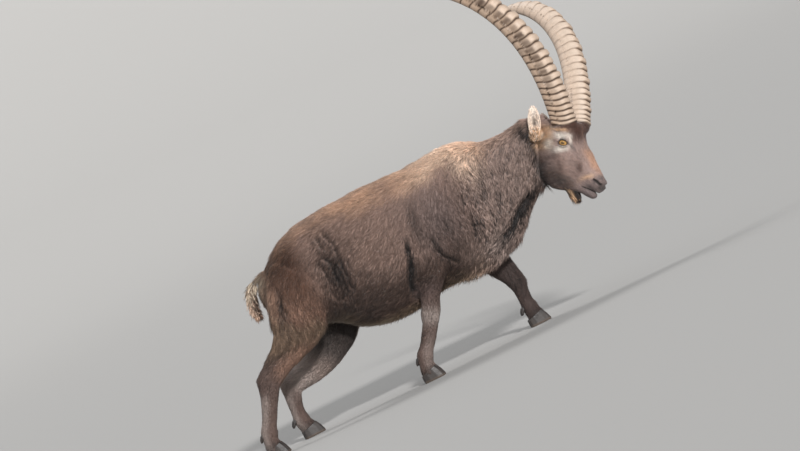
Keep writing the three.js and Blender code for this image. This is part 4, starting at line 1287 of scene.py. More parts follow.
def lay_patches(made, patches, each, shares):
    """The map for baking: each tuft a small patch at its root's place on the unwrapped skin."""
    side = np.concatenate([np.tile([-0.5, 0.5, 0.0], (each - 1) // 3), [0.0]])
    local = columns(side * (1 - 0.6 * shares), shares - 0.5) * PATCH_SIZE
    spread = (patches[:, None, :] + local[None]).reshape(-1, 2)
    give_map(made, "OFBake", spread)


def round_share(first, second):
    """The share of a full turn at which a place stands."""
    return np.arctan2(first, second) / (2 * np.pi) + 0.5


def unwrapped(points):
    """Places on the skin laid flat: round and along the trunk, the head and each leg."""
    head = head_share(points) > 0.5
    leg, share, _, _, here = on_legs(points)
    legged = here > 0.5
    level = 520 - 0.04 * points[:, 0]
    around = round_share(points[:, 2] - level, points[:, 1])
    flat = np.stack([(points[:, 0] - 180) / 1250, around], axis=1)
    local = to_muzzle(points)
    turned = round_share(local[:, 2] + 100, local[:, 1])
    flat[head] = np.stack([(local[:, 0] + 120) / 430, turned], axis=1)[head]
    away = points - middle_run(share, leg)
    ring = round_share(away[:, 0], away[:, 1])
    flat[legged] = columns((leg + ring) / 4, share)[legged]
    return np.clip(flat, 0, 1) * 0.96 + 0.02


def locks(name, roots, normals, way, length, width, lift, marking, random, patches, bends=2):
    """Tufts that all lift alike, each with a shade of its own."""
    lift, vary = np.full(len(roots), lift), random.random(len(roots))
    return tuft_mesh(name, roots, normals, way, length, width, lift, marking, vary, patches, bends)


def on_map(first, second):
    """Places on a baking map from two shares, clear of its edges."""
    return columns(first, second) * 0.9 + 0.05


def scattered(skin, density, seed):
    """Evenly strewn roots on a skin: places, normals and how many to each square millimetre."""
    points, normals = points_of(skin), normals_of(skin)
    skin.data.calc_loop_triangles()
    corners = read(skin.data.loop_triangles, "vertices", 3, np.int32)
    a, b, c = (points[corners[:, k]] for k in range(3))
    area = 0.5 * np.linalg.norm(np.cross(b - a, c - a), axis=1)
    wanted = area * density[corners].mean(axis=1)
    reached = np.cumsum(wanted)
    count = int(reached[-1])
    random = np.random.default_rng(seed)
    marks = (np.arange(count) + random.random(count)) * reached[-1] / count
    face = np.searchsorted(reached, marks)
    first, second = random.random(count), random.random(count)
    over = first + second > 1
    first, second = np.where(over, 1 - first, first), np.where(over, 1 - second, second)
    mix = columns(1 - first - second, first, second)[:, :, None]
    blend = lambda values: (values[corners[face]] * mix).sum(axis=1)
    return blend(points), unit(blend(normals)), random


def coat_measures(points):
    """Spacing, length, width and lift of the tufts at each point."""
    coat, face = look("coat"), look("face")
    head = head_share(points)
    _, share, _, _, leg = on_legs(points)
    neck = ramp(points[:, 0], 980, 1150) * (1 - head)
    down = ramp(share, 0.45, 0.75) * leg
    belly = fall(trunk_height(points), 0.03, 0.2) * (1 - leg)
    rump = fall(points[:, 0], 330, 430) * ramp(points[:, 2], 560, 640)
    spacing = 1000 * coat.spacing * (1 + 0.08 * neck - 0.24 * leg - 0.06 * down)
    length = 1000 * (coat.body_length + (coat.neck_length - coat.body_length) * neck)
    length *= (1 - 0.4 * leg) * (1 - 0.3 * down) * (1 + 0.4 * belly + 0.2 * rump)
    width = 3.3 * (1 - 0.3 * neck - 0.22 * leg - 0.12 * down)
    pastern = bell(points[:, 2] - 54, 9)
    lift = np.radians(18 + 3 * neck + 4 * belly + 6 * rump - 3 * leg - 2 * down + 14 * pastern)
    x, _, z = to_muzzle(points).T
    fine = ramp(x, 120, 230)
    jaw = ramp(-z, 150, 195) * (1 - fine)
    rear = fall(x, -10, 60)
    hairs = 1000 * face.hair_length * (1.1 - 0.5 * fine + 0.9 * jaw + 0.8 * rear)
    hairs *= 1 - 0.5 * by_horns(points)
    blend = lambda body, face_value: body * (1 - head) + face_value * head
    seam = 1 + 2.4 * head * (1 - head)
    return (
        blend(spacing, 2.15 - 0.15 * fine),
        seam * blend(length, hairs),
        blend(width, 1.8 - 0.5 * fine),
        blend(lift, np.radians(24 - 5 * fine)),
    )


def is_bare(points):
    """True where no tuft grows: eyeballs, lids' edges, nostrils, the mouth and the nose."""
    local = to_muzzle(points)
    x, y, z = local.T
    bare = np.zeros(len(points), bool)
    for side, _ in SIDES:
        across, up, out = on_eye(points, side)
        near = np.sqrt(across**2 + up**2 + out**2) < LID_REACH
        bare |= (almond(across, up) < 1.35) & near
    mouth, nostril, _ = muzzle_lines(local)
    bare |= (mouth < 2.4) & (x > 228)
    bare |= (nostril < 6.5) & (np.abs(y) > 8)
    return bare | (x > 274) & (z > -64) & (z < -32)


COAT_PIECES = (
    "coat_rump", "coat_flank_near", "coat_flank_far", "coat_shoulder_near", "coat_shoulder_far",
    "coat_neck_near", "coat_neck_far", "coat_head_near", "coat_head_far", "coat_fore_legs",
    "coat_hind_legs",
)


def piece_of(points):
    """The number of the coat piece that each root belongs to."""
    x, y, _ = points.T
    x = x + 90 * (noise(points, 5, 22) - 0.5)
    far = (y > 0).astype(int)
    leg, _, _, _, here = on_legs(points)
    piece = np.where(x < 400, 0, np.where(x < 745, 1 + far, np.where(x < 1060, 3 + far, 5 + far)))
    head = head_share(points) > 0.5
    side = (to_muzzle(points)[:, 1] > 0).astype(int)
    piece = np.where(head, 7 + side, piece)
    return np.where(here > 0.5, np.where(leg < 2, 9, 10), piece)


class IBEX_OT_skin(bpy.types.Operator):
    """Makes the skin of the whole animal, with muscles, folds, lids, lips and nostrils"""

    bl_idname = "ibex.skin"
    bl_label = "Skin"

    def execute(self, context):
        head = head_shell()
        finer_near(head)
        move_points(head, featured(points_of(head), normals_of(head)))
        body = body_shell()
        move_points(body, muscled(points_of(body), normals_of(body)))
        apply_modifier(body, "BOOLEAN", operation="UNION", solver="MANIFOLD", object=head)
        bpy.data.objects.remove(head)
        points = points_of(body)
        share = head_share(points)
        seam = (share > 0.01) & (share < 0.75)
        edit(body, seam, lambda: bpy.ops.mesh.vertices_smooth(factor=0.5, repeat=24))
        points = points_of(body)
        along = lie(points, normals_of(body))
        give_values(body, "marking", parted(markings(points), points, along))
        # The skin takes the darker shade of the tufts' roots: painted shade between the tufts
        give_values(body, "along", 0.25)
        give_values(body, "vary", 0.5)
        dress(body, fur_material("Short Fur", True))
        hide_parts("torso", "neck", "head", "tail", *LEG_NODES)
        return {"FINISHED"}


LEG_NODES = [
    f"{part}_{side}"
    for side in ("left", "right")
    for part in ("fore_arm", "fore_cannon", "hind_thigh", "hind_shank", "hind_cannon")
]


class IBEX_OT_coat(bpy.types.Operator):
    """Covers the skin with tufts that lie as the hair does, in a piece for each region"""

    bl_idname = "ibex.coat"
    bl_label = "Coat"

    def execute(self, context):
        skin = bpy.data.objects["ibex_skin"]
        at_points = points_of(skin)
        spacing = coat_measures(at_points)[0]
        density = (1 - is_bare(at_points)) / spacing**2
        density *= at_points[:, 2] > 34
        roots, normals, random = scattered(skin, density, 7)
        draw = lambda: random.random(len(roots))
        _, length, width, lift = coat_measures(roots)
        along = lie(roots, normals)
        across = np.cross(normals, along)
        sway = 0.5 * (noise(roots, 26, 8) - 0.5) + 0.5 * (noise(roots, 9, 9) - 0.5)
        sway += 0.18 * random.standard_normal(len(roots))
        along = unit(along + across * sway[:, None])
        clump = 0.6 * streaks(roots, along, 6.0, 10) + 0.4 * streaks(roots, along, 15.0, 18)
        # Tufts in the partings take darker shades: painted shade
        clump = clump * (1 - 0.8 * clefts(roots, along))
        vary = np.clip(0.65 * clump + 0.35 * draw(), 0, 1)
        length = length * (0.75 + 0.5 * draw()) * (0.85 + 0.3 * clump)
        width = width * (0.8 + 0.4 * draw())
        lift = lift * (0.6 + 0.8 * clump)
        stray = np.where(head_share(roots) > 0.5, 1.6, 7.0)[:, None]
        colours = markings(roots + stray * random.standard_normal(roots.shape))
        colours = parted(colours, roots, along)
        patches = unwrapped(roots)
        measures = roots, normals, along, length, width, lift, colours, vary, patches
        number = piece_of(roots)
        material = fur_material("Coat", False)
        for index, name in enumerate(COAT_PIECES):
            keep = number == index
            kept = (rows[keep] for rows in measures)
            made = tuft_mesh(name, *kept, bends=int("neck" in name))
            dress(made, material)
        return {"FINISHED"}


# Horns
HORN_LEAN = math.radians(18.3)
HORN_START_ANGLE = math.radians(12.4)
HORN_START_BEND = 0.75e-3
HORN_BEND_GROWTH = 3.43e-6
HORN_FLARE = math.radians(4.2)
HORN_FLARE_GROWTH = math.radians(15.5) / 1000
HORN_SUNK = 80.0


def horn_line(side, steps=900):
    """The middle line of a horn in the head's frame, with its front and outer directions."""
    up = np.array([0, side * math.sin(HORN_LEAN), math.cos(HORN_LEAN)])

    def axes(s):
        run = np.maximum(s, 0)
        angle = HORN_START_ANGLE + HORN_START_BEND * run + HORN_BEND_GROWTH * run**2 / 2
        flare = HORN_FLARE + HORN_FLARE_GROWTH * run
        back = columns(-np.cos(flare), side * np.sin(flare), 0 * flare)
        tangent = unit(up * np.cos(angle)[:, None] + back * np.sin(angle)[:, None])
        front = up * np.sin(angle)[:, None] - back * np.cos(angle)[:, None]
        across = unit(np.cross(front, tangent))
        return tangent, np.cross(tangent, across), across

    total = HORN_LENGTH + HORN_SUNK
    s = np.linspace(-HORN_SUNK, HORN_LENGTH, steps + 1)
    tangent = axes(s[:-1] + total / steps / 2)[0] * total / steps
    first = np.array([0, side * HORN_SPACING / 2, 0]) - axes(np.zeros(1))[0][0] * HORN_SUNK
    place = first + np.concatenate([np.zeros((1, 3)), np.cumsum(tangent, axis=0)])
    _, front, across = axes(s)
    return s, place, front, across


def horn_at(side, stops):
    s, place, front, across = horn_line(side)
    place, front, across = (
        columns(*(np.interp(stops, s, part[:, k]) for k in range(3)))
        for part in (place, front, across)
    )
    return place, unit(front), unit(across)


def horn_taper(s):
    share = np.maximum(s, 0) / HORN_LENGTH
    return np.maximum(0.05, 1 - 0.13 * share - 0.81 * share**5)


def horn_rings(side, stops, margins):
    """Plain rings round the root of a horn, each larger than the horn by its own margin."""
    place, front, across = horn_at(side, np.asarray(stops, float))
    out, forward = section(40, 2.4)
    margins = np.asarray(margins, float)[:, None]
    wide, deep = HORN_HALF_WIDTH + margins, HORN_HALF_DEPTH + margins
    rings = place[:, None] + across[:, None] * (wide * out)[..., None]
    return from_head(rings + front[:, None] * (deep * forward)[..., None])


def by_horns(points):
    """1 on the skin at the foot of a horn, falling to 0 a little below it."""
    share = np.zeros(len(points))
    for side, _ in SIDES:
        place, front, across = (HEAD_TURN @ part[0] for part in horn_at(side, np.array([0.0])))
        away = points - HEAD_PLACE - place
        rise = away @ np.cross(across, front)
        close = np.hypot(away @ across / HORN_HALF_WIDTH, away @ front / HORN_HALF_DEPTH)
        share = np.maximum(share, ramp(rise, -44, -24) * fall(close, 1.15, 1.5))
    return share


def knob_distance(k):
    """Distance of a knob from the base: close together low down, wider apart above."""
    first = 12.0
    share = k / HORN_KNOBS
    return first + (HORN_LENGTH - first) * (0.54 * share + 0.43 * share**2)


def knob_phase(s):
    """For places along a horn, the number of the knob and the share of its length."""
    edges = np.array([knob_distance(k) for k in range(-2, HORN_KNOBS + 1)])
    number = np.clip(np.searchsorted(edges, s) - 1, 0, len(edges) - 2)
    share = (s - edges[number]) / (edges[number + 1] - edges[number])
    return number, np.clip(share, 0, 1), (edges[number + 1] - edges[number])


class IBEX_OT_horns(bpy.types.Operator):
    """Makes the two swept horns with their knobs, growth lines and worn faces"""

    bl_idname = "ibex.horns"
    bl_label = "Horns"

    def execute(self, context):
        material = horn_material()
        for side, name in SIDES:
            made = horn_mesh(side, f"ridged_horn_{name}")
            dress(made, material)
            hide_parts(f"horn_{name}")
        return {"FINISHED"}


def horn_mesh(side, name):
    """A grid rolled round the horn's curve, closed at its seam and its ends."""
    made, u, v = grid(name, 72, 470)
    start = -30.0
    s = start + (HORN_LENGTH - start) * v
    phi = 2 * np.pi * u
    place, front, across = horn_at(side, s)
    taper = horn_taper(s)
    cos, sin = np.cos(phi), np.sin(phi)
    shaped = lambda value: np.sign(value) * np.abs(value) ** (2 / 2.7)
    out, forward = shaped(cos), shaped(sin)
    turned = phi if side < 0 else np.pi - phi
    outer = np.clip(np.cos(turned), 0, 1)
    inner = np.clip(-np.cos(turned), 0, 1)
    ahead = np.clip(forward, 0, 1)
    waver = 3.2 * np.sin(3 * turned) * outer
    waver += 2.0 * (noise(columns(phi * 12, s * 0.2, 0 * s + side * 40), 9, 11) - 0.5)
    lag = 11 * np.clip(-forward, -0.2, 1) + 5 * outer
    number, share, gap = knob_phase(np.clip(s + waver - lag, start, HORN_LENGTH))
    grown = np.minimum(1, 0.45 + gap / 40) * (0.85 + 0.3 * np.sin(number * 2.4 + 1))
    lump = np.clip(np.sin(np.pi * share ** 0.8) * 1.5 - 0.15, 0, 1) ** 0.8
    live = ramp(s, -24, -16) * fall(s, HORN_LENGTH * 0.93, HORN_LENGTH * 0.99)
    knob = 1000 * look("horns").knob * grown * lump * live
    groove = np.exp(-((np.minimum(share, 1 - share) * gap / 3.0) ** 2)) * live
    fine = noise(columns(phi * 6, s * 1.4, 0 * s), 3.2, 12)
    deep, wide = HORN_HALF_DEPTH * taper, HORN_HALF_WIDTH * taper
    narrow = 1 - 0.2 * np.clip(-forward, 0, 1) ** 2
    marked = 1 - 0.85 * ramp(inner, 0.2, 0.7)
    swell = knob * taper * ahead**0.7 * marked
    skirt = (2.0 * lump - 2.6 * groove) * live * (outer + 0.12 * inner) * (1 - 0.6 * ahead)
    points = place + across * ((wide * narrow * out) + np.sign(out) * skirt * 0.9)[:, None]
    points = points + front * (deep * forward + swell)[:, None]
    outwards = across * cos[:, None] + front * sin[:, None]
    points = points + outwards * (0.5 * (fine - 0.5))[:, None]
    move_points(made, from_head(points))
    colours = horn_colours(s, turned, share, number, groove, lump, fine, ahead, outer, inner)
    give_values(made, "marking", colours)
    edit(made, True, merge_within(0.0001), close_ends)
    return made


def horn_colours(s, phi, share, number, groove, lump, fine, ahead, outer, inner):
    """Tan horn with dark grooves, a row of dark pits outside and pale worn faces, and painted shade
    on its rear face and at its root.
    """
    horns = look("horns")
    turn_off = np.abs(np.angle(np.exp(1j * (phi - 0.2)))) + 0.12 * (fine - 0.5)
    pit = fall(turn_off, 0.2, 0.4)
    pit *= np.sin(np.pi * np.clip(share * 1.1, 0, 1)) ** 0.7 * ramp(s, 60, 220)
    pit *= 0.55 + 0.45 * np.sin(number * 1.9) ** 2
    worn = noise(columns(phi * 20, s, 0 * s), 26, 13)
    tip = ramp(s, HORN_LENGTH * 0.9, HORN_LENGTH)
    return layered(horns.horn, [
        (horns.pale, 0.6 * ramp(inner, 0.1, 0.6) + 0.5 * ahead * lump + 0.4 * worn * outer),
        (horns.groove, 0.95 * groove * (0.6 + 0.6 * outer + 0.4 * ahead) * (1 - 0.6 * inner)),
        (horns.groove, 0.95 * pit),
        (horns.groove, 0.4 * ramp(fine, 0.5, 0.75) * fall(lump, 0.2, 1.0)),
        (horns.groove, 0.3 * ramp(worn, 0.6, 0.85) * outer),
        # Painted shade along the rear face of the horn
        (horns.groove, 0.35 * ramp(-np.sin(phi), 0.75, 1.0)),
        (horns.groove, 0.5 * tip),
        # Painted shade at the root, where the horn goes into the skin
        (horns.groove, 0.8 * fall(s, -22, -14)),
    ])


def close_ends():
    """An edit mode step that fills the open ends of a rolled grid."""
    bpy.ops.mesh.select_mode(type="EDGE")
    bpy.ops.mesh.select_all(action="DESELECT")
    bpy.ops.mesh.select_non_manifold()
    bpy.ops.mesh.edge_face_add()
    bpy.ops.mesh.select_all(action="SELECT")
    face_outwards()


def horn_material():
    material, tree, shader = new_material("Horn", 0.55, coat_weight=0.06, coat_roughness=0.35)
    fibre, streak = grain(tree, 420.0, 3.0), grain(tree, 60.0, 4.0)
    fine = math_node(tree, "MULTIPLY_ADD", fibre, 0.3, 0.7)
    broad = math_node(tree, "MULTIPLY_ADD", streak, 0.5, 0.8)
    link_marking(tree, shader, math_node(tree, "MULTIPLY", fine, broad))
    rough = math_node(tree, "MULTIPLY_ADD", streak, 0.3, 0.42)
    tree.links.new(rough, shader.inputs["Roughness"])
    link_relief(tree, shader, 0.4, 0.0008, fibre)
    return material


# Eyes
IRIS_MAP_WIDTH = 40.0


class IBEX_OT_eyes(bpy.types.Operator):
    """Makes the two eyeballs with a bulging cornea, amber iris and level pupil"""

    bl_idname = "ibex.eyes"
    bl_label = "Eyes"

    def execute(self, context):
        material = eye_material()
        for side, name in SIDES:
            made = eyeball(side, f"eyeball_{name}")
            dress(made, material)
            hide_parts(f"eye_{name}")
        return {"FINISHED"}


def eyeball(side, name):
    """A ball whose pole looks out of the lids, with the cornea raised round it."""
    bpy.ops.object.select_all(action="DESELECT")
    bpy.ops.mesh.primitive_uv_sphere_add(segments=64, ring_count=40, radius=EYE_RADIUS / 1000)
    made = named_active(name)
    local = read(made.data.vertices, "co", 3).astype(float) * 1000
    reach = np.hypot(local[:, 0], local[:, 1])
    cornea = 1.4 * fall(reach, 6, 14) * (local[:, 2] > 0)
    local *= (1 + cornea / EYE_RADIUS)[:, None]
    middle, length, upright, facing = eye_axes(side)
    placed = middle + local[:, :1] * length + local[:, 1:2] * upright + local[:, 2:] * facing
    move_points(made, placed)
    made.data.uv_layers.remove(made.data.uv_layers[0])
    flat = np.where(local[:, 2:] > 0, local[:, :2], EYE_RADIUS * unit(local[:, :2]))
    give_map(made, "Iris", flat / IRIS_MAP_WIDTH + 0.5)
    if side < 0:
        edit(made, True, face_outwards)
    return made


def eye_material():
    wet = {"coat_weight": 1.0, "coat_roughness": 0.03, "ior": 1.38}
    material, tree, shader = new_material("Eye", 0.12, **wet)
    flat = tree.nodes.new("ShaderNodeUVMap")
    flat.uv_map = "Iris"
    centred = node(tree, "ShaderNodeVectorMath", flat.outputs[0], (0.5, 0.5, 0.0))
    centred.operation = "SUBTRACT"
    parts = node(tree, "ShaderNodeSeparateXYZ", Vector=centred.outputs[0])
    across, up = parts.outputs[0], parts.outputs[1]
    reach = node(tree, "ShaderNodeVectorMath", centred.outputs[0])
    reach.operation = "LENGTH"
    ring = tree.nodes.new("ShaderNodeValToRGB")
    amber = np.asarray(look("face").iris)
    stops = ((0.0, amber * 0.3), (0.16, amber * 0.6), (0.27, amber), (0.33, amber * 0.55),
             (0.36, amber * 0.06), (0.42, np.array([0.016, 0.009, 0.006])))
    while len(ring.color_ramp.elements) < len(stops):
        ring.color_ramp.elements.new(0.5)
    for element, (position, colour) in zip(ring.color_ramp.elements, stops):
        element.position = position
        element.color = (*colour, 1)
    tree.links.new(reach.outputs["Value"], ring.inputs[0])
    rays = node(tree, "ShaderNodeTexNoise", Vector=centred.outputs[0], Scale=60.0, Detail=4.0)
    streaky = mix_colour(tree, "MULTIPLY", 0.5, ring.outputs[0], rays.outputs["Color"])
    beyond = math_node(tree, "SUBTRACT", math_node(tree, "ABSOLUTE", across), 0.12)
    beyond = math_node(tree, "MAXIMUM", beyond, 0.0)
    squares = (math_node(tree, "POWER", value, 2.0) for value in (beyond, up))
    apart = math_node(tree, "ADD", *squares)
    edge = node(tree, "ShaderNodeMapRange", math_node(tree, "SQRT", apart), 0.035, 0.055, 1.0, 0.0)
    coloured = mix_colour(tree, "MIX", edge.outputs[0], streaky, (0.006, 0.004, 0.003, 1))
    tree.links.new(coloured, shader.inputs["Base Color"])
    return material


# Ears
EAR_HALF_WIDTH = 23.0


class IBEX_OT_ears(bpy.types.Operator):
    """Makes the two leaf-shaped ears, hollow and pale-haired inside"""

    bl_idname = "ibex.ears"
    bl_label = "Ears"

    def execute(self, context):
        material = fur_material("Ear", True)
        for side, name in SIDES:
            made = ear_leaf(side, f"ear_leaf_{name}")
            dress(made, material)
            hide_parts(f"ear_{name}")
            dress(ear_hair(side, f"ear_hair_{name}"), material)
            dress(ear_root_locks(side, f"ear_locks_{name}"), material)
        return {"FINISHED"}


def ear_axes(side):
    ear = EARS[dict(SIDES)[side]]
    start, end = from_head(ear["root"]), from_head(ear["tip"])
    length = np.linalg.norm(end - start)
    along = (end - start) / length
    outwards = HEAD_TURN @ np.array(ear["facing"], float)
    across = unit(np.cross(unit(outwards), along))
    return start, length, along, across, np.cross(along, across)


EAR_OUTLINE = [
    (-0.16, 0.5), (0.05, 0.62), (0.22, 0.86), (0.45, 1.0), (0.7, 0.9), (0.9, 0.58), (1.0, 0.08),
]


def ear_leaf(side, name):
    """A curved leaf: a grid with its sides rolled forward, thickened and rounded."""
    made, u, v = grid(name, 24, 40)
    move_points(made, ear_surface(side, 2 * u - 1, v))
    apply_modifier(made, "SOLIDIFY", thickness=0.0026, offset=0.0)
    apply_modifier(made, "SUBSURF", levels=1, render_levels=1)
    edit(made, True, face_outwards)
    places = points_of(made)
    start, length, along, across, open_way = ear_axes(side)
    away = places - start
    share = (away @ along) / length
    inside = (normals_of(made) @ open_way) > 0.15
    half = EAR_HALF_WIDTH * np.maximum(between(EAR_OUTLINE, share)[:, 1], 0.2)
    edge = np.abs(away @ across) / half
    coat, face = look("coat"), look("face")
    colours = layered(face.tan, [
        (coat.neck, 0.5 * (1 - inside) * ramp(share, 0.1, 0.6)),
        (face.white, 0.6 * inside * ramp(share, 0.05, 0.25)),
        (face.white, 0.5 * ramp(share, 0.4, 0.8)),
        (face.muzzle, 0.7 * inside * fall(edge, 0.5, 0.9) * noise(places, 5, 35)),
        (face.dark, 0.85 * inside * bump(columns(share, edge), (0.42, 0.0), (0.22, 0.45))),
    ])
    give_values(made, "marking", colours)
    give_values(made, "along", 0.6)
    give_values(made, "vary", 0.35 + 0.4 * noise(places, 3, 14))
    return made


def ear_surface(side, u, v):
    """Points on the ear for shares across it, from -1 to 1, and up it, from 0 to 1."""
    start, length, along, across, open_way = ear_axes(side)
    rows = np.asarray(EAR_OUTLINE)
    share = rows[0, 0] + (1 - rows[0, 0]) * v
    wide = lambda places: np.interp(places, rows[:, 0], rows[:, 1])
    half = 0.5 * wide(share) + 0.25 * wide(share - 0.06) + 0.25 * wide(np.minimum(share + 0.06, 1))
    half *= EAR_HALF_WIDTH
    roll = np.radians(np.interp(share, [-0.16, 0.1, 0.5, 1.0], [150, 110, 62, 24]))
    angle = u * roll
    radius = half / np.maximum(np.sin(np.minimum(roll, np.pi / 2)), 0.3)
    sideways = radius * np.sin(angle)
    forward = radius * (1 - np.cos(angle)) - 4
    bend = -5 * np.sin(np.pi * np.clip(share, 0, 1)) + 6 * np.clip(share - 0.6, 0, 1)
    place = start + along * (share * length)[:, None] + across * sideways[:, None]
    return place + open_way * (forward * 0.75 + bend)[:, None]


def ear_hair(side, name):
    """Pale hairs from the edges of the ear across its hollow."""
    random = np.random.default_rng(31 + side)
    count = 620
    draw = lambda: random.random(count)
    _, _, along, across, open_way = ear_axes(side)
    u = np.sign(draw() - 0.5) * (0.35 + 0.62 * draw() ** 0.6)
    v = 0.14 + 0.8 * draw()
    roots = ear_surface(side, u, v)
    inward = -np.sign(u)[:, None] * across
    normals = unit(open_way + 0.5 * inward)
    way = unit(along + 0.35 * inward + 0.2 * random.standard_normal((count, 3)))
    way = square_to(way, normals)
    face = look("face")
    marking = layered(face.white, [
        (face.tan, 0.5 * draw()),
        (face.cheek, 0.7 * draw() ** 2),
    ])
    tall = 9 + 9 * draw() * (1 - np.abs(v - 0.5))
    patches = on_map((u + 1) / 2, v)
    width = np.full(count, 1.1)
    return locks(name, roots, normals, way, tall, width, 0.45, marking, random, patches)


def ear_root_locks(side, name):
    """Tan, white and brown curls round the root of an ear."""
    random = np.random.default_rng(71 + side)
    count = 1300
    draw = lambda: random.random(count)
    start, length, along, across, open_way = ear_axes(side)
    angle = 2 * np.pi * draw()
    rise = draw()
    out = across * np.cos(angle)[:, None] + open_way * np.sin(angle)[:, None]
    roots = start + along * ((0.42 * rise - 0.22) * length)[:, None]
    roots += out * (18 - 6 * rise)[:, None]
    way = unit(along * 0.8 + 0.3 * out + 0.28 * random.standard_normal((count, 3)))
    normals = square_to(out, way)
    face, coat = look("face"), look("coat")
    pick = draw()
    marking = layered(face.tan, [
        (face.white, 0.8 * (pick > 0.7)),
        (coat.haunch, 0.8 * (pick < 0.25)),
        (coat.neck, 0.8 * (np.sin(angle) < -0.2)),
    ])
    tall = 8 + 8 * draw()
    width = 0.9 + 0.7 * draw()
    patches = on_map(angle / (2 * np.pi), rise)
    return locks(name, roots, normals, way, tall, width, 0.3, marking, random, patches)


# Beard, tail and other long hair
class IBEX_OT_locks(bpy.types.Operator):
    """Hangs the beard, the tail tuft, the lashes and the fringes of chest and belly"""

    bl_idname = "ibex.locks"
    bl_label = "Beard, tail and fringes"

    def execute(self, context):
        material = fur_material("Long Hair", False)
        dress(beard_locks(), material)
        dress(tail_locks(), material)
        dress(fringe_locks(), material)
        dress(lashes(), material)
        return {"FINISHED"}


def beard_locks():
    random = np.random.default_rng(41)
    count = 1300
    draw = lambda: random.random(count)
    along = draw() ** 0.8
    lateral = random.standard_normal(count) * 0.42
    x = 186 + 46 * along
    z = np.interp(x, [182, 200, 225, 240], [-168, -158, -140, -130])
    local = columns(x, lateral * (24 - 6 * along), z + 2 * np.abs(lateral))
    roots = from_muzzle(local)
    to_tip = from_muzzle((262, 0, -158)) - roots
    reach = np.linalg.norm(to_tip, axis=1)
    way = unit(unit(to_tip) + (0, 0, -0.25) + 0.13 * random.standard_normal((count, 3)))
    normals = unit(np.cross(way, unit(random.standard_normal((count, 3)))))
    face = look("face")
    marking = layered(face.beard, [
        (face.tan, 0.95 * bell(along - 0.42, 0.22) * (draw() > 0.12)),
        (face.cheek, 0.4 * (draw() > 0.85)),
    ])
    tall = np.maximum(reach * (0.55 + 0.5 * draw()), 20)
    width = 1.5 + 0.9 * draw()
    patches = np.clip(on_map(along, lateral / 4 + 0.5), 0.02, 0.98)
    return locks("beard", roots, normals, way, tall, width, 0.1, marking, random, patches, 3)


def tail_locks():
    random = np.random.default_rng(43)
    count = 1500
    draw = lambda: random.random(count)
    t = 0.4 + 0.56 * draw()
    values, ahead = between(TAIL, t), between(TAIL, np.minimum(t + 0.02, 1))
    run = unit((ahead - values)[:, :3])
    angle = 2 * np.pi * draw()
    back = unit(np.cross(run, SIDEWAYS))
    out = back * np.cos(angle)[:, None] + SIDEWAYS * np.sin(angle)[:, None]
    size = np.maximum(values[:, 3:].mean(axis=1) - 11, 2)
    roots = values[:, :3] + out * size[:, None]
    way = unit(run + 0.2 * out + 0.2 * random.standard_normal((count, 3)) + (0.1, 0, -0.25))
    normals = square_to(out, way)
    coat = look("coat")
    dark = ramp(out[:, 0], -0.4, 0.4) * ramp(t, 0.5, 0.62)
    marking = layered(coat.tail_pale, [
        (coat.groin, 0.8 * fall(t, 0.55, 0.75)),
        (coat.back, 0.6 * ramp(t, 0.8, 0.95)),
        (coat.tail_dark, 0.9 * dark * (draw() > 0.15)),
        (coat.haunch, 0.7 * (draw() > 0.66)),
    ])
    tall = (24 + 18 * draw()) * (1 - 0.2 * np.abs(t - 0.7))
    width = 2.4 + 1.4 * draw()
    patches = on_map(t, angle / (2 * np.pi))
    return locks("tail_tuft", roots, normals, way, tall, width, 0.3, marking, random, patches, 3)


def fringe_locks():
    """Longer locks under the chest, the belly and the brisket, and behind the elbows."""
    skin = bpy.data.objects["ibex_skin"]
    points = points_of(skin)
    high = trunk_height(points)
    x = points[:, 0]
    under = fall(high, 0.02, 0.1) * ramp(x, 880, 980) * fall(x, 1240, 1320)
    under += 0.3 * fall(high, 0.0, 0.06) * ramp(x, 560, 640) * fall(x, 880, 980)
    elbow = bump(points, (985, 60, 300), (30, 40, 40))
    elbow += 0.6 * bump(points, (776, -130, 400), (16, 40, 30))
    trunk = (head_share(points) < 0.1) * (1 - on_legs(points)[4])
    density = 0.03 * np.clip(under + elbow, 0, 1) * (points[:, 2] > 250) * trunk
    roots, normals, random = scattered(skin, density, 53)
    draw = lambda: random.random(len(roots))
    stray = 0.12 * random.standard_normal((len(roots), 3))
    way = unit(lie(roots, normals) * 0.8 + (0, 0, -0.7) + stray)
    out = square_to(normals, way)
    tall = (15 + 14 * draw()) * (1 + 0.5 * ramp(roots[:, 0], 860, 980))
    width = 1.6 + 1.0 * draw()
    marking, patches = markings(roots), unwrapped(roots)
    return locks("fringes", roots, out, way, tall, width, 0.12, marking, random, patches)


def lashes():
    """Dark lashes along the upper lids."""
    random = np.random.default_rng(59)
    roots, normals, ways = [], [], []
    for side, _ in SIDES:
        middle, length, upright, facing = eye_axes(side)
        for across in np.linspace(-15, 15, 46):
            up = 10.1 * (1 - (across / LID_HALF) ** 2) ** 0.7 - 0.06 * across
            out = math.sqrt(max((EYE_RADIUS + 2.6) ** 2 - across**2 - up**2, 0))
            roots.append(middle + length * across + upright * up + facing * out)
            way = unit(facing + 0.25 * upright + length * across / 60)
            ways.append(unit(way + 0.12 * random.standard_normal(3)))
            normals.append(upright)
    roots, normals, ways = (np.array(rows) for rows in (roots, normals, ways))
    normals = square_to(normals, ways)
    count = len(roots)
    marking = np.full((count, 3), look("face").dark)
    tall, width = 6 + 3 * random.random(count), np.full(count, 0.7)
    patches = on_map(np.linspace(0, 1, count), np.full(count, 0.5))
    return locks("lashes", roots, normals, ways, tall, width, 0.3, marking, random, patches)


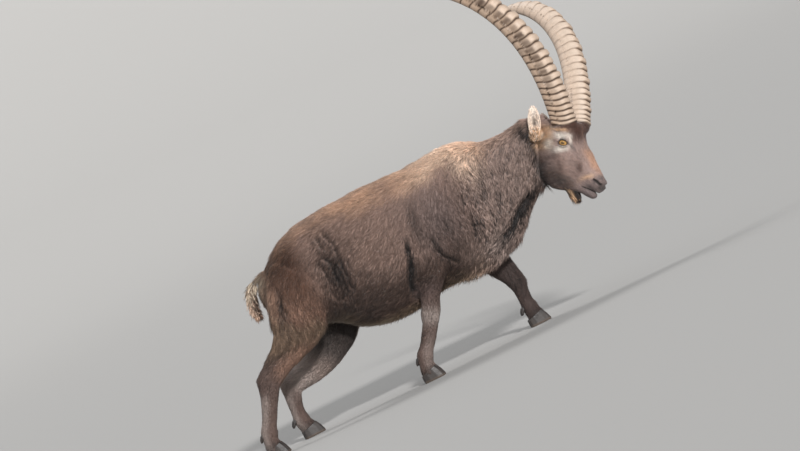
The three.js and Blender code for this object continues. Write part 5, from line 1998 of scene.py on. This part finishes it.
# Claws
class IBEX_OT_claws(bpy.types.Operator):
    """Finishes the claws and dewclaws of each foot with rounded walls and growth rings"""

    bl_idname = "ibex.claws"
    bl_label = "Claws"

    def execute(self, context):
        material = claw_material()
        for leg in LEGS:
            kinds = [f"{kind}_{leg}" for kind in ("hoof", "dewclaw")]
            nodes = [f"{kind}_{place}" for kind in kinds for place in ("inner", "outer")]
            made = claw_set(f"claws_{leg}", nodes)
            dress(made, material)
            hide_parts(*nodes)
        return {"FINISHED"}


def claw_set(name, nodes):
    """Copies of a foot's solids, merged, remeshed, rounded and ringed."""
    copies = []
    for key in nodes:
        source = frame["nodes"][key]
        mesh = source.data.copy()
        mesh.materials.clear()
        made = placed(f"{name}_{key}", mesh)
        edit(made, True, merge_within(0.00002))
        apply_modifier(made, "REMESH", mode="VOXEL", voxel_size=0.0016)
        apply_modifier(made, "SMOOTH", factor=0.5, iterations=8)
        copies.append(made)
    made = joined(name, copies)
    points, normals = points_of(made), normals_of(made)
    rings = np.sin((points[:, 2] + 5 * noise(points, 22, 15)) * 1.1) * noise(points, 18, 17)
    wall = (points[:, 2] > 7) & (points[:, 2] < 46)
    out = 0.12 * rings * wall + 0.4 * (noise(points, 5, 16) - 0.5)
    points = points + normals * out[:, None]
    points[:, 2] = np.maximum(points[:, 2], 0)
    move_points(made, points)
    horns = look("horns")
    colours = layered(horns.claw, [
        (horns.horn, 0.12 * fall(points[:, 2], 1, 12)),
        (look("face").dark, 0.5 * ramp(points[:, 2], 30, 48)),
        (horns.horn, 0.06 * ramp(rings, 0.1, 0.6)),
    ])
    give_values(made, "marking", colours)
    return made


def claw_material():
    material, tree, shader = new_material("Claw", 0.5)
    spots = grain(tree, 260.0, 4.0)
    link_marking(tree, shader, math_node(tree, "MULTIPLY_ADD", spots, 0.8, 0.6))
    rough = math_node(tree, "MULTIPLY_ADD", spots, 0.35, 0.35)
    tree.links.new(rough, shader.inputs["Roughness"])
    link_relief(tree, shader, 0.5, 0.0006, spots)
    return material


# Studio
class IBEX_OT_studio(bpy.types.Operator):
    """Lays the pale floor with its soft sweep, and sets the lamps and the camera"""

    bl_idname = "ibex.studio"
    bl_label = "Floor, light and camera"

    def execute(self, context):
        studio_floor()
        add_sun("Key", (0.25, -1.0, 0.38), context.scene.ibex_studio.key, 5)
        add_sun("Back", (-0.5, 0.8, 1.1), context.scene.ibex_studio.key * 0.3, 20)
        world_light()
        add_camera()
        return {"FINISHED"}


def studio_floor():
    """A round floor, flat under the animal, that rises to a soft wall far away."""
    profile = [(0, 0), (8, 0), (26, 0), (29, 0.3), (31.4, 1.1), (33, 2.4), (34, 3.8), (34.5, 5.2)]
    mesh = bpy.data.meshes.new("floor")
    edges = [(k, k + 1) for k in range(len(profile) - 1)]
    mesh.from_pydata([(x, 0.0, z) for x, z in profile], edges, [])
    floor = placed("floor", mesh)
    turn_round = lambda: bpy.ops.mesh.spin(
        steps=96, angle=2 * math.pi, center=(0, 0, 0), axis=(0, 0, 1)
    )
    face_inwards = lambda: bpy.ops.mesh.normals_make_consistent(inside=True)
    edit(floor, True, turn_round)
    edit(floor, True, merge_within(0.001), face_inwards)
    material, _, shader = new_material("Floor", 0.9)
    shader.inputs["Base Color"].default_value = (*look("studio").floor, 1)
    floor.data.materials.append(material)
    smooth_shaded(floor)


def add_sun(name, way, power, spread):
    """A distant lamp that shines from a direction, softer with a wider spread in degrees."""
    light = bpy.data.lights.new(name, "SUN")
    light.energy = power
    light.angle = math.radians(spread)
    lamp = placed(name, light)
    lamp.rotation_euler = Vector(way).to_track_quat("Z", "Y").to_euler()


def world_light():
    sky = bpy.data.worlds.new("Studio")
    sky.use_nodes = True
    light = sky.node_tree.nodes["Background"]
    light.inputs["Color"].default_value = (0.93, 0.96, 1.0, 1)
    light.inputs["Strength"].default_value = 0.44
    bpy.context.scene.world = sky
    bpy.context.scene.view_settings.view_transform = "Standard"


def add_camera():
    """The camera at the photo's angle: low, level with the flank and rolled to its slope."""
    distance = look("studio").distance
    aim = world(CAMERA_AIM)
    camera = bpy.data.cameras.new("Camera")
    camera.sensor_width = 36.0
    camera.lens = camera.sensor_width * distance / PICTURE_WIDTH
    camera.clip_end = 200.0
    made = placed("Camera", camera)
    axes = columns(VIEW_RIGHT, VIEW_UP, -VIEW_FORWARD)
    matrix = Matrix(axes.tolist()).to_4x4()
    matrix.translation = Vector(aim - VIEW_FORWARD * distance)
    made.matrix_world = matrix
    bpy.context.scene.camera = made


class IBEX_PT_panel(bpy.types.Panel):
    """The pieces of the ibex in the order in which they are made"""

    bl_label = "Alpine Ibex"
    bl_idname = "IBEX_PT_panel"
    bl_space_type = "VIEW_3D"
    bl_region_type = "UI"
    bl_category = "Ibex"

    def draw(self, context):
        for operator in STEPS:
            self.layout.operator(operator.bl_idname)
        for settings in SETTINGS:
            group = getattr(context.scene, settings)
            column = self.layout.column()
            for key in group.bl_rna.properties.keys():
                if key not in ("rna_type", "name"):
                    column.prop(group, key)


SETTINGS = {
    "ibex_coat": IbexCoat,
    "ibex_face": IbexFace,
    "ibex_horns": IbexHorns,
    "ibex_studio": IbexStudio,
}
STEPS = (
    IBEX_OT_studio,
    IBEX_OT_skin,
    IBEX_OT_coat,
    IBEX_OT_locks,
    IBEX_OT_ears,
    IBEX_OT_eyes,
    IBEX_OT_horns,
    IBEX_OT_claws,
)


def register():
    for settings, group in SETTINGS.items():
        bpy.utils.register_class(group)
        setattr(bpy.types.Scene, settings, bpy.props.PointerProperty(type=group))
    for operator in STEPS:
        bpy.utils.register_class(operator)
    bpy.utils.register_class(IBEX_PT_panel)


def unregister():
    bpy.utils.unregister_class(IBEX_PT_panel)
    for operator in reversed(STEPS):
        bpy.utils.unregister_class(operator)
    for settings, group in SETTINGS.items():
        delattr(bpy.types.Scene, settings)
        bpy.utils.unregister_class(group)


def main():
    register()
    bpy.ops.ibex.studio()
    bpy.ops.ibex.skin()
    bpy.ops.ibex.coat()
    bpy.ops.ibex.locks()
    bpy.ops.ibex.ears()
    bpy.ops.ibex.eyes()
    bpy.ops.ibex.horns()
    bpy.ops.ibex.claws()


if __name__ == "__main__":
    main()
